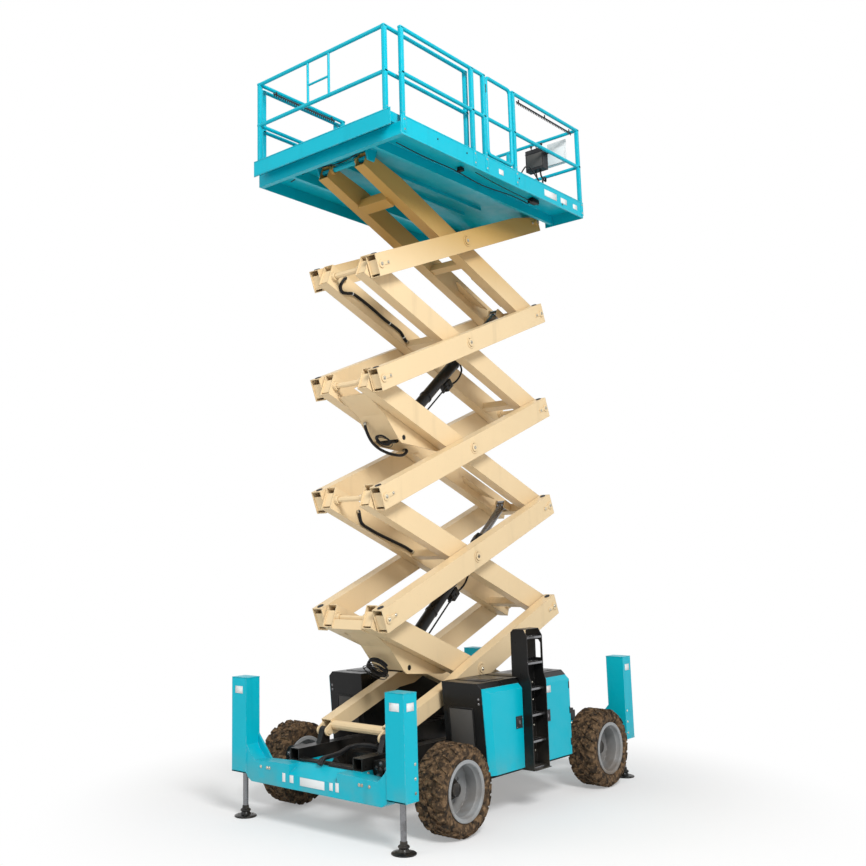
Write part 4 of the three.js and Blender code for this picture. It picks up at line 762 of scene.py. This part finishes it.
def sidewall_rib(piece, place, angle, half_side):
    """A raised rib on the sidewall between two shoulder blocks."""
    h = half_side * (TYRE_HALF_WIDTH - 0.006)
    verts = []
    for height in (h - half_side * 0.012, h + half_side * 0.0045):
        for r, spread in ((0.33, 0.01), (0.372, 0.022)):
            for turn in (-1, 1):
                verts.append(piece.bm.verts.new(place @ polar(r, angle + turn * spread, height)))
    for quad in ((4, 5, 7, 6), (0, 4, 6, 2), (1, 3, 7, 5), (0, 1, 5, 4), (2, 6, 7, 3), (0, 2, 3, 1)):
        piece.bm.faces.new([verts[q] for q in quad])


def tyre(name, body, x, side):
    """A carcass with a slightly uneven crown, staggered lugs in four rows, and sidewall ribs."""
    place = wheel_place(x, side)
    carcass = Piece()
    w = TYRE_HALF_WIDTH
    half = [(RIM_BARREL_R + 0.0003, w - 0.042), (RIM_FLANGE_R - 0.012, w - 0.03),
            (RIM_FLANGE_R + 0.018, w - 0.014), (0.315, w - 0.003), (0.345, w - 0.001), (0.368, w - 0.012),
            (0.384, w - 0.034), (0.39, w - 0.07), (0.393, 0.03)]
    carcass.turned(half + [(r, -h) for r, h in reversed(half)] + [half[0]], place, 120)
    for vertex in carcass.bm.verts:
        away = vertex.co - place.translation
        away.y = 0
        if away.length > RIM_FLANGE_R + 0.03:
            vertex.co += away.normalized() * random.uniform(-0.0035, 0.0015)
    pitch = 2 * math.pi / LUG_COUNT
    for half_side in (-1, 1):
        for k in range(LUG_COUNT):
            angle = k * pitch + (pitch / 2 if half_side > 0 else 0)
            reach, r_edge = (w - 0.004, 0.378) if k % 2 else (w - 0.012, 0.386)
            tread_lug(carcass, place, angle, pitch * 0.62, half_side * 0.062, half_side * reach,
                      0.035, 0.372, r_edge)
            tread_lug(carcass, place, angle + pitch * 0.5, pitch * 0.55, half_side * 0.006,
                      half_side * 0.055, 0.045, 0.38, TYRE_R - 0.004)
            sidewall_rib(carcass, place, angle + pitch / 2, half_side)
    carcass.done(f"{name}_tread", body, "tyre_rubber", stands_for=[name], sharp=32)


def wheel(name, x, side):
    """Tyre, rim with its dished disc, hub with its cap, nuts and valve."""
    body = f"{name}_wheel"
    tyre(f"{name}_tyre", body, x, side)
    place = wheel_place(x, side)
    rim, hub, nuts = Piece(place), Piece(place), Piece(place)
    w = TYRE_HALF_WIDTH
    inner = RIM_BARREL_R - RIM_WALL
    flange = RIM_FLANGE_R
    d = DISC_OUT
    rim.turned([(inner, -w + 0.012), (flange - 0.004, -w + 0.01), (flange, -w + 0.014), (flange, -w + 0.02),
                (RIM_BARREL_R, -w + 0.04), (RIM_BARREL_R, w - 0.04), (flange, w - 0.02), (flange, w - 0.014),
                (flange - 0.004, w - 0.01), (inner + 0.008, w - 0.01), (inner, w - 0.018),
                (inner - 0.002, w - 0.06), (inner - 0.01, w - 0.07), (inner - 0.01, d + 0.03),
                (inner, d + 0.016), (inner, -w + 0.012)], LEVEL, 96)
    rim.turned([(0.04, d - 0.016), (inner + 0.002, d - 0.016), (inner + 0.002, d + 0.004), (0.205, d + 0.002),
                (0.19, d), (0.135, d), (0.125, d + 0.006), (0.11, d + 0.008), (0.04, d + 0.008),
                (0.04, d - 0.016)], LEVEL, 72)
    rim.done(f"{name}_rim_shell", body, "rim_paint", stands_for=[f"{name}_rim"])
    hub.turned([(0.038, d + 0.006), (0.094, d + 0.006), (0.094, d + 0.018), (0.088, d + 0.025),
                (0.07, d + 0.027), (0.068, d + 0.06), (0.062, d + 0.07), (0.048, d + 0.075),
                (0, d + 0.075)], LEVEL, 48)
    hub.done(f"{name}_hub", body, "black_paint")
    for at in circle(WHEEL_NUTS, NUT_CIRCLE_R):
        nuts.bolt((*at, d + 0.006), (0, 0, 1), 0.0105)
    for at in circle(CAP_BOLTS, CAP_CIRCLE_R):
        nuts.bolt((*at, d + 0.068), (0, 0, 1), 0.006, washer=False)
    nuts.rod((0.222, 0, d + 0.03), (0.214, 0, d + 0.07), 0.005, sides=12)
    nuts.done(f"{name}_wheel_nuts", body, "bright_steel")


for end in ("front", "rear"):
    for side_name, side in SIDES:
        x = JOINT[f"{end}_{side_name}_wheel_spin"]["pos_m"][0]
        wheel(f"{end}_{side_name}", x, side)

# ---- jacks

JACK_ROD_R, FOOT_R, FOOT_BOLT_R = 0.027, 0.11, 0.066


def jack(body, x, y):
    """A ground rod on a stepped round foot."""
    node_name = f"{body}_leg"
    place = Matrix.Translation((x, y, 0))
    rod, foot = Piece(place), Piece(place)
    rod.rod((0, 0, 0.07), (0, 0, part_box(node_name)[1].z), JACK_ROD_R, sides=32)
    rod.done(f"{body}_rod", body, "bright_steel", stands_for=[node_name])
    foot.turned([(0, 0), (FOOT_R - 0.004, 0), (FOOT_R, 0.004), (FOOT_R, 0.011), (FOOT_R - 0.006, 0.015),
                 (0.078, 0.02), (0.056, 0.024), (0.046, 0.036), (0.04, 0.048), (0.05, 0.054), (0.052, 0.064),
                 (0.046, 0.072), (0.034, 0.08), (0.032, 0.104), (0.028, 0.108), (0.0271, 0.108)], LEVEL, 48)
    for at in circle(4, FOOT_BOLT_R, math.pi / 4):
        foot.bolt((*at, 0.02), (0, 0, 1), 0.007)
    foot.done(f"{body}_foot", body, "black_paint")


for end, x in (("front", JACK_X), ("rear", -JACK_X)):
    for side_name, side in SIDES:
        jack(f"{end}_{side_name}_jack", x, side * JACK_Y)

# ---- chassis, beams and posts

BEAM_FACE_X = POST_X - 0.01
POST_SIDE_Y = JACK_Y + POST_HALF_Y
POST_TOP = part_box("front_outrigger_beam")[1].z
POST_PLATE_Z = (POST_TOP - 0.155, POST_TOP - 0.085)
BEAM_PLATES = (          # y from, y to, z from, z to
    (-0.163, 0.153, 0.414, 0.49), (-0.4, -0.36, 0.42, 0.5), (-0.3, -0.25, 0.424, 0.492),
    (0.215, 0.258, 0.424, 0.492), (0.29, 0.332, 0.42, 0.5))
HUB_X, HUB_Y, HUB_Z = 1.75, 0.572, 0.59
RAIL_INSIDE_Y, RAIL_OUTSIDE_Y = 0.3495, 0.466


def end_beam(name, end):
    """Blank plates, bolts, post caps and lashing eyes on a cross beam and its posts."""
    face = end * BEAM_FACE_X
    post_face = end * POST_X
    plates, trim, bolts = Piece(), Piece(), Piece()
    for y0, y1, z0, z1 in BEAM_PLATES:
        plates.block((face, face + end * 0.003), (y0, y1), (z0, z1), 0.001)
    for side in (-1, 1):
        y = side * JACK_Y
        out = side * POST_SIDE_Y
        plates.block((post_face, post_face + end * 0.002), around(y, 0.055), POST_PLATE_Z, 0.001)
        plates.block(around(end * JACK_X, 0.05), (out, out + side * 0.002), POST_PLATE_Z, 0.001)
        x_in, x_out = end * (JACK_X - POST_HALF_X), end * (JACK_X + POST_HALF_X)
        wide = around(y, POST_HALF_Y + 0.003)
        trim.block((x_in - end * 0.003, x_out), wide, (POST_TOP - 0.007, POST_TOP - 0.001), 0.002)
        trim.block((x_in, x_out), wide, (0.43, 0.444), 0.002)
        for z in (0.5, 0.62, 0.74):
            bolts.bolt((end * (JACK_X - 0.05), out, z), (0, side, 0), 0.009)
        for bolt_y in (0.58, 0.612, 0.7):
            bolts.bolt((face, side * bolt_y, 0.52), (end, 0, 0), 0.01)
        for x in (1.5, 1.6, 1.7, 1.8):
            bolts.bolt((end * x, side * 0.463, 0.56), (0, side, 0), 0.012)
        eye_y = side * (JACK_Y - 0.13)
        trim.rod((end * (JACK_X - 0.02), eye_y, 0.47), (end * (JACK_X + 0.02), eye_y, 0.47), 0.026, sides=28)
    plates.done_blank(f"{name}_blank_plates")
    trim.done(f"{name}_post_trim", "chassis", "turquoise_paint")
    bolts.done_zinc(f"{name}_beam_bolts")


def hub_bolts():
    """Bright bolts and caps on the round hubs outside the front rail ends, and clamps along the rails."""
    bolts, caps = Piece(), Piece()
    for side in (-1, 1):
        hub = Vector((HUB_X, side * HUB_Y, HUB_Z))
        for dy, dz in circle(5, 0.06, 0.3):
            bolts.bolt(hub + Vector((0, dy, dz)), (1, 0, 0), 0.013)
        caps.turned([(0, 0), (0.036, 0), (0.034, 0.012), (0.018, 0.02), (0, 0.02)],
                    Matrix.Translation(hub) @ facing((1, 0, 0)), 36)
        for x in (-1.55, -0.4, 0.2, 1.05):
            caps.block((x, x + 0.04), (side * RAIL_INSIDE_Y, side * RAIL_OUTSIDE_Y), (0.6995, 0.706), 0.002)
    bolts.done("hub_bolts", "chassis", "bright_steel")
    caps.done("hub_caps", "chassis", "black_paint")


end_beam("front", 1)
end_beam("rear", -1)
hub_bolts()

# ---- service boxes, doors and ladder

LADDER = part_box("access_ladder")
LATCH_Z, LATCH_HALF_X, LATCH_HALF_Z = 0.87, 0.056, 0.058
FRONT_LATCH_X, REAR_LATCH_X = LADDER[1].x + 0.085, LADDER[0].x - 0.15
REAR_HINGE_X = -0.781
BOX_FRONT_X, BOX_LOW, BOX_HIGH = 0.69, 0.397, 1.285
BOX_LEAN = 0.078         # how much further forward the box's front is at its top
RUNGS, STUDS = 6, 9
RUNG_FRONT_Y, STUD_Y, SIDE_PLATE_Y = 1.118, 1.07, 1.0125


def door_latch(door, x, face, side):
    """A square latch plate with a round bright key and four screws."""
    latch, key = Piece(), Piece()
    latch.block(around(x, LATCH_HALF_X), (face, face + side * 0.007),
                around(LATCH_Z, LATCH_HALF_Z), 0.008)
    latch.rod((x, face, LATCH_Z), (x, face + side * 0.012, LATCH_Z), 0.026, sides=32)
    latch.done(f"{door}_latch", f"{door}_body", "dark_plastic")
    key.rod((x, face + side * 0.01, LATCH_Z), (x, face + side * 0.0135, LATCH_Z), 0.017, sides=24)
    key.block(around(x, 0.005), (face + side * 0.012, face + side * 0.017),
              around(LATCH_Z, 0.02), 0.002)
    for dx in (-0.043, 0.043):
        for dz in (-0.043, 0.043):
            key.bolt((x + dx, face + side * 0.007, LATCH_Z + dz), (0, side, 0), 0.0045, washer=False)
    key.done(f"{door}_key", f"{door}_body", "bright_steel")


def door_trim(side_name, side):
    """Latches on both doors, and hinge knuckles and a blank plate on the rear one."""
    face = side * BOX_FACE_Y
    door_latch(f"{side_name}_front_door", FRONT_LATCH_X, face, side)
    rear = f"{side_name}_rear_door"
    door_latch(rear, REAR_LATCH_X, face, side)
    hinges, plate = Piece(), Piece()
    for z in (0.52, 0.84, 1.1):
        hinges.rod((REAR_HINGE_X, face, z), (REAR_HINGE_X, face, z + 0.07), 0.007, sides=20)
    hinges.done(f"{rear}_hinges", f"{rear}_body", "black_paint")
    plate.block((-0.42, -0.245), (face, face + side * 0.002), (1.095, 1.165), 0.0008)
    plate.done_blank(f"{rear}_blank_plate", f"{rear}_body")


def box_front(side_name, side):
    """The paler panel let into a box's front, its rim, two bolts at the door's edge, and the hood's seams."""
    inside = min(abs(corner.y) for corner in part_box(f"{side_name}_service_box"))
    lean = math.atan2(BOX_LEAN, BOX_HIGH - BOX_LOW)
    place = Matrix.Translation((BOX_FRONT_X, 0, BOX_LOW)) @ Matrix.Rotation(lean, 4, "Y")
    panel, rim, bolts, hood = Piece(place), Piece(place), Piece(place), Piece()
    y0, y1 = inside + 0.075, inside + 0.345
    panel.block((0.0, 0.006), (side * y0, side * y1), (0.29, 0.64), 0.01)
    panel.done(f"{side_name}_box_panel", "chassis", "black_paint", PANEL)
    for z in (0.275, 0.65):
        rim.block((0.0, 0.009), (side * (y0 - 0.015), side * (y1 + 0.015)), around(z, 0.008), 0.003)
    for y in (y0 - 0.01, y1 + 0.01):
        rim.block((0.0, 0.009), (side * (y - 0.007), side * (y + 0.007)), (0.275, 0.65), 0.003)
    rim.done(f"{side_name}_box_panel_rim", "chassis", "black_paint")
    for z in (0.7, 0.745):
        bolts.bolt((0.001, side * (inside + 0.43), z), (1, 0, 0), 0.008)
    bolts.done(f"{side_name}_box_bolts", "chassis", "bright_steel")
    for x in (-0.7, -0.3, 0.22):
        hood.block((x, x + 0.38), (side * 0.58, side * 0.9), (1.2845, 1.2895), 0.002)
    hood.done(f"{side_name}_hood_seams", "chassis", "black_paint")


def ladder_trim():
    """Worn bright edges of the rungs, their studs, and bolts down the side plates."""
    edges, bolts = Piece(), Piece()
    low, high = LADDER[0].z, LADDER[1].z
    pitch = (high - 0.1 - low) / (RUNGS - 1)
    x0, x1 = LADDER[0].x + 0.01, LADDER[1].x - 0.01
    for k in range(RUNGS):
        z = low + 0.003 + k * pitch
        edges.block((x0, x1), (RUNG_FRONT_Y, RUNG_FRONT_Y + 0.0035), (z + 0.002, z + 0.022), 0.001)
        for j in range(STUDS):
            x = x0 + 0.02 + j * (x1 - x0 - 0.04) / (STUDS - 1)
            edges.rod((x, STUD_Y, z + 0.0235), (x, STUD_Y, z + 0.0275), 0.008, r_end=0.005, sides=10)
    edges.done("rung_edges", "chassis", "bright_steel")
    for z in (0.55, 0.8, 1.05, 1.22):
        for x in (LADDER[0].x + 0.045, LADDER[1].x - 0.045):
            bolts.bolt((x, SIDE_PLATE_Y, z), (0, 1, 0), 0.008)
    bolts.done_zinc("ladder_bolts")


for side_name, side in SIDES:
    door_trim(side_name, side)
    box_front(side_name, side)
ladder_trim()

# ---- platform rails

RAIL_POST_HALF_X, RAIL_POST_HALF_Y = 0.023, 0.021
RAIL_JOIN = 0.022        # a rail across the platform ends this far inside the side rails' centre
EXT_WALL_TOP = DECK_BOTTOM + 0.25
EXT_RAIL_Y = 0.921 - RAIL_R
EXT_RAIL_FRONT_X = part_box("extension_deck")[1].x - RAIL_R
EXT_RAIL_REAR_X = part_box("extension_deck")[0].x + 0.2
BARS_Y = (-0.155, 0.147)
BAR_Z = MID_RAIL_Z + 0.21


def railing(name, body, start, end, posts, base):
    """Round rails at two heights from start to end, square posts with collars, and a bolt at each foot."""
    rails, bolts = Piece(), Piece()
    for z in (TOP_RAIL_Z, MID_RAIL_Z):
        rails.tube([(*start, z), (*end, z)], RAIL_R, 28)
    for x, y in posts:
        deep = around(y, RAIL_POST_HALF_Y)
        rails.block(around(x, RAIL_POST_HALF_X), deep, (base, TOP_RAIL_Z + 0.005), 0.005)
        collar = around(x, RAIL_POST_HALF_X + 0.004)
        for z in (TOP_RAIL_Z, MID_RAIL_Z):
            rails.block(collar, deep, around(z, 0.012), 0.004)
        out = 1 if y > 0 else -1
        bolts.bolt((x, y + out * (RAIL_POST_HALF_Y - 0.003), base + 0.035), (0, out, 0), 0.006, washer=False)
    rails.done(f"{name}_shell", body, "turquoise_paint", stands_for=[name])
    bolts.done_zinc(f"{name}_bolts", body)


def side_railing(name, y, start_x, end_x, posts_x):
    posts = [(x, y) for x in posts_x]
    railing(name, "platform", (start_x, y), (end_x, y), posts, TOE_TOP)


side_railing("platform_left_rear_rails", RAIL_Y, GATE_REAR_X, RAIL_REAR_X, (GATE_REAR_X, RAIL_REAR_X))
side_railing("platform_left_front_rails", RAIL_Y, GATE_FRONT_X, RAIL_FRONT_X,
             (GATE_FRONT_X, FOURTH_POST_X, RAIL_FRONT_X))
side_railing("platform_right_rails", -RAIL_Y, RAIL_REAR_X, RAIL_FRONT_X,
             (RAIL_REAR_X, GATE_REAR_X, FOURTH_POST_X, RAIL_FRONT_X))
rear_end_y = RAIL_Y - RAIL_JOIN
railing("platform_rear_rails", "platform", (RAIL_REAR_X, -rear_end_y), (RAIL_REAR_X, rear_end_y),
        [(RAIL_REAR_X, 0)], TOE_TOP)
for side_name, side in SIDES:
    y = side * EXT_RAIL_Y
    railing(f"extension_{side_name}_rails", "extension", (EXT_RAIL_REAR_X, y), (EXT_RAIL_FRONT_X, y),
            [(EXT_RAIL_REAR_X, y), (EXT_RAIL_FRONT_X - 0.002, y)], EXT_WALL_TOP)


def extension_front():
    """The two front rails with the small square frame between them."""
    x, reach = EXT_RAIL_FRONT_X, EXT_RAIL_Y - RAIL_JOIN
    rails = Piece()
    for z in (TOP_RAIL_Z, MID_RAIL_Z):
        rails.tube([(x, -reach, z), (x, reach, z)], RAIL_R, 28)
    for y in BARS_Y:
        rails.tube([(x, y, MID_RAIL_Z), (x, y, TOP_RAIL_Z)], 0.014, 20)
    rails.tube([(x, y, BAR_Z) for y in BARS_Y], 0.012, 20)
    rails.done("extension_front_shell", "extension", "turquoise_paint", stands_for=["extension_front_rails"])


def gate():
    """A bent tube frame with a middle rail and a latch."""
    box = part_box("entry_gate")
    x0, x1 = box[0].x + RAIL_R, box[1].x - RAIL_R
    z0, z1 = TOE_TOP + 0.04, TOP_RAIL_Z
    bent, latch = Piece(), Piece()
    middle = ((x0 + x1) / 2, RAIL_Y, z0)
    corners = [middle, (x1, RAIL_Y, z0), (x1, RAIL_Y, z1), (x0, RAIL_Y, z1), (x0, RAIL_Y, z0), middle]
    bent.tube(rounded_path(corners, 0.055), RAIL_R, 24)
    bent.tube([(x0, RAIL_Y, MID_RAIL_Z), (x1, RAIL_Y, MID_RAIL_Z)], RAIL_R, 24)
    bent.done("entry_gate_shell", "gate", "turquoise_paint", stands_for=["entry_gate"])
    latch.block((x1 - 0.015, x1 + 0.022), around(RAIL_Y, 0.016), (z1 - 0.19, z1 - 0.09), 0.004)
    latch.rod((x1, RAIL_Y - 0.014, z1 - 0.08), (x1, RAIL_Y + 0.0195, z1 - 0.08), 0.01, sides=20)
    latch.done("gate_latch", "gate", "dark_plastic")


extension_front()
gate()

# ---- platform fittings

TOOTH_PITCH = 0.034
LEVERS_Y = (0.75, 0.82, 0.89)
DECK_PLATES = (          # x from, x to, z from and z to over the deck's bottom
    (-1.09, -0.82, 0.06, 0.14), (-1.32, -1.18, 0.066, 0.132), (0.02, 0.11, 0.06, 0.12),
    (-1.56, -1.46, 0.066, 0.126))
SOCKETS = ((-1.21, 0.05), (-0.295, 0.12), (0.7, 0.12), (1.2, 0.12))
HOLDER_Y = (0.6, 0.86)
UNDER_Z = DECK_BOTTOM + 0.062


def comb(name, body, y, x0, x1):
    """A toothed strip under a top rail that a folding hoop locks into."""
    strip = Piece()
    z = TOP_RAIL_Z - 0.062
    thick = around(y, 0.003)
    strip.block((x0, x1), thick, (z, z + 0.018), 0.001)
    count = int((x1 - x0) / TOOTH_PITCH)
    for k in range(count):
        x = x0 + (k + 0.5) * (x1 - x0) / count
        tooth = [(x - 0.01, z + 0.001), (x - 0.004, z - 0.02), (x + 0.004, z - 0.02), (x + 0.01, z + 0.001)]
        strip.plate(tooth, *thick, 0.0005)
    for x in (x0 + 0.05, (x0 + x1) / 2, x1 - 0.05):
        strip.block(around(x, 0.01), thick, (z + 0.01, TOP_RAIL_Z - 0.015), 0.001)
    strip.done(name, body, "dark_plastic")


def control_station():
    """Levers and a plain face on the control box, with its leads down to the deck."""
    low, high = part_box("control_box")
    knobs, face, lead = Piece(), Piece(), Piece()
    x = -1.01
    for y in LEVERS_Y:
        knobs.rod((x, y, high.z - 0.002), (x, y, high.z + 0.05), 0.006, sides=16)
        knobs.rod((x, y, high.z + 0.046), (x, y, high.z + 0.074), 0.014, sides=24, rim=0.006)
    knobs.block((low.x - 0.004, high.x + 0.004), (0.696, 0.944), (high.z - 0.05, high.z - 0.04), 0.002)
    knobs.done("control_knobs", "platform", "dark_plastic")
    face.block((high.x, high.x + 0.004), (0.716, 0.924), (low.z + 0.03, low.z + 0.2), 0.003)
    face.done("control_face", "platform", "dark_plastic", PANEL)
    lead.tube(smooth_path([
        (x, 0.86, low.z + 0.004), (-1.012, 0.872, low.z - 0.08), (-1.0, 0.93, low.z - 0.16),
        (-0.94, 0.965, MID_RAIL_Z - 0.33), (-0.88, 0.968, TOE_TOP + 0.08),
        (-0.87, 0.966, TOE_TOP - 0.04)]), 0.01)
    lead.tube(smooth_path([
        (x, 0.8, low.z + 0.004), (-0.99, 0.83, low.z - 0.11), (-0.82, 0.94, low.z - 0.19),
        (-0.56, 0.972, TOE_TOP + 0.15), (-0.42, 0.968, TOE_TOP + 0.03),
        (-0.4, 0.966, TOE_TOP - 0.045)]), 0.008)
    lead.done("control_leads", "platform", "hose_rubber")


def deck_sides():
    """Blank plates, post feet with their bolts, folded lips and small sockets on the deck's sides."""
    plates, trim, bolts, sockets = Piece(), Piece(), Piece(), Piece()
    long = (DECK_REAR_X + 0.01, DECK_FRONT_X - 0.01)
    for side in (-1, 1):
        face = side * DECK_FACE_Y
        foot = face + side * 0.004
        lip = (face - side * 0.002, face + side * 0.003)
        for x0, x1, z0, z1 in DECK_PLATES:
            plates.block((x0, x1), (face, face + side * 0.002), (DECK_BOTTOM + z0, DECK_BOTTOM + z1), 0.0008)
        for x in (RAIL_REAR_X, GATE_REAR_X, GATE_FRONT_X, FOURTH_POST_X, RAIL_FRONT_X):
            trim.block(around(x, 0.028), (face, foot), (DECK_BOTTOM + 0.03, TOE_TOP - 0.004), 0.002)
            for z in (DECK_BOTTOM + 0.06, TOE_TOP - 0.04):
                bolts.bolt((x, foot, z), (0, side, 0), 0.007)
        trim.block(long, lip, (DECK_BOTTOM, DECK_BOTTOM + 0.016), 0.002)
        trim.block(long, lip, (TOE_TOP - 0.014, TOE_TOP), 0.002)
    for x, z in SOCKETS:
        z += DECK_BOTTOM
        sockets.rod((x, DECK_FACE_Y - 0.002, z), (x, DECK_FACE_Y + 0.006, z), 0.009)
    plates.done_blank("deck_blank_plates", "platform")
    trim.done("deck_side_trim", "platform", "turquoise_paint")
    bolts.done_zinc("deck_side_bolts", "platform")
    sockets.done("deck_sockets", "platform", "dark_plastic")


def document_holder():
    """An open tray on the rear rails."""
    holder = Piece()
    x = RAIL_REAR_X + 0.026
    low = MID_RAIL_Z + 0.09
    holder.block((x, x + 0.01), HOLDER_Y, (low, MID_RAIL_Z + 0.4), 0.004)
    holder.block((x, x + 0.055), HOLDER_Y, (low, MID_RAIL_Z + 0.1), 0.003)
    holder.block((x + 0.047, x + 0.055), HOLDER_Y, (low, MID_RAIL_Z + 0.3), 0.003)
    holder.done_blank("document_holder", "platform")


def under_fittings():
    """Thin cables and two small boxes below the floor."""
    under = Piece()
    z = UNDER_Z
    for r, points in (
            (0.006, [(-0.97, 0.7, z + 0.02), (-0.6, 0.69, z + 0.03), (-0.1, 0.64, z + 0.03),
                     (0.5, 0.7, z + 0.02), (1.0, 0.68, z + 0.03), (1.5, 0.72, z + 0.02)]),
            (0.005, [(-1.1, 0.76, z + 0.02), (-0.7, 0.8, z), (-0.2, 0.79, z + 0.02), (0.3, 0.84, z + 0.01)]),
            (0.006, [(1.6, 0.4, z + 0.02), (1.56, 0.0, z - 0.005), (1.59, -0.4, z + 0.02),
                     (1.5, -0.8, z + 0.02)])):
        under.tube(smooth_path(points), r)
    under.block((-1.06, -0.92), (0.72, 0.8), (z + 0.01, z + 0.06), 0.008)
    under.block((0.39, 0.45), (0.7, 0.76), (z + 0.02, z + 0.06), 0.006)
    under.done("deck_under_fittings", "platform", "hose_rubber")


def extension_trim():
    """Folded lips along the extension's front plate."""
    low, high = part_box("extension_deck")
    trim = Piece()
    for z in (low.z + 0.004, high.z - 0.012):
        trim.block((high.x - 0.003, high.x + 0.004), (-0.97, 0.97), (z, z + 0.009), 0.002)
    trim.done("extension_front_trim", "extension", "turquoise_paint")


comb("near_comb", "platform", RAIL_Y - 0.03, -1.6, -0.38)
comb("far_comb", "extension", -EXT_RAIL_Y + 0.03, 0.7, 1.7)
control_station()
deck_sides()
document_holder()
under_fittings()
extension_trim()
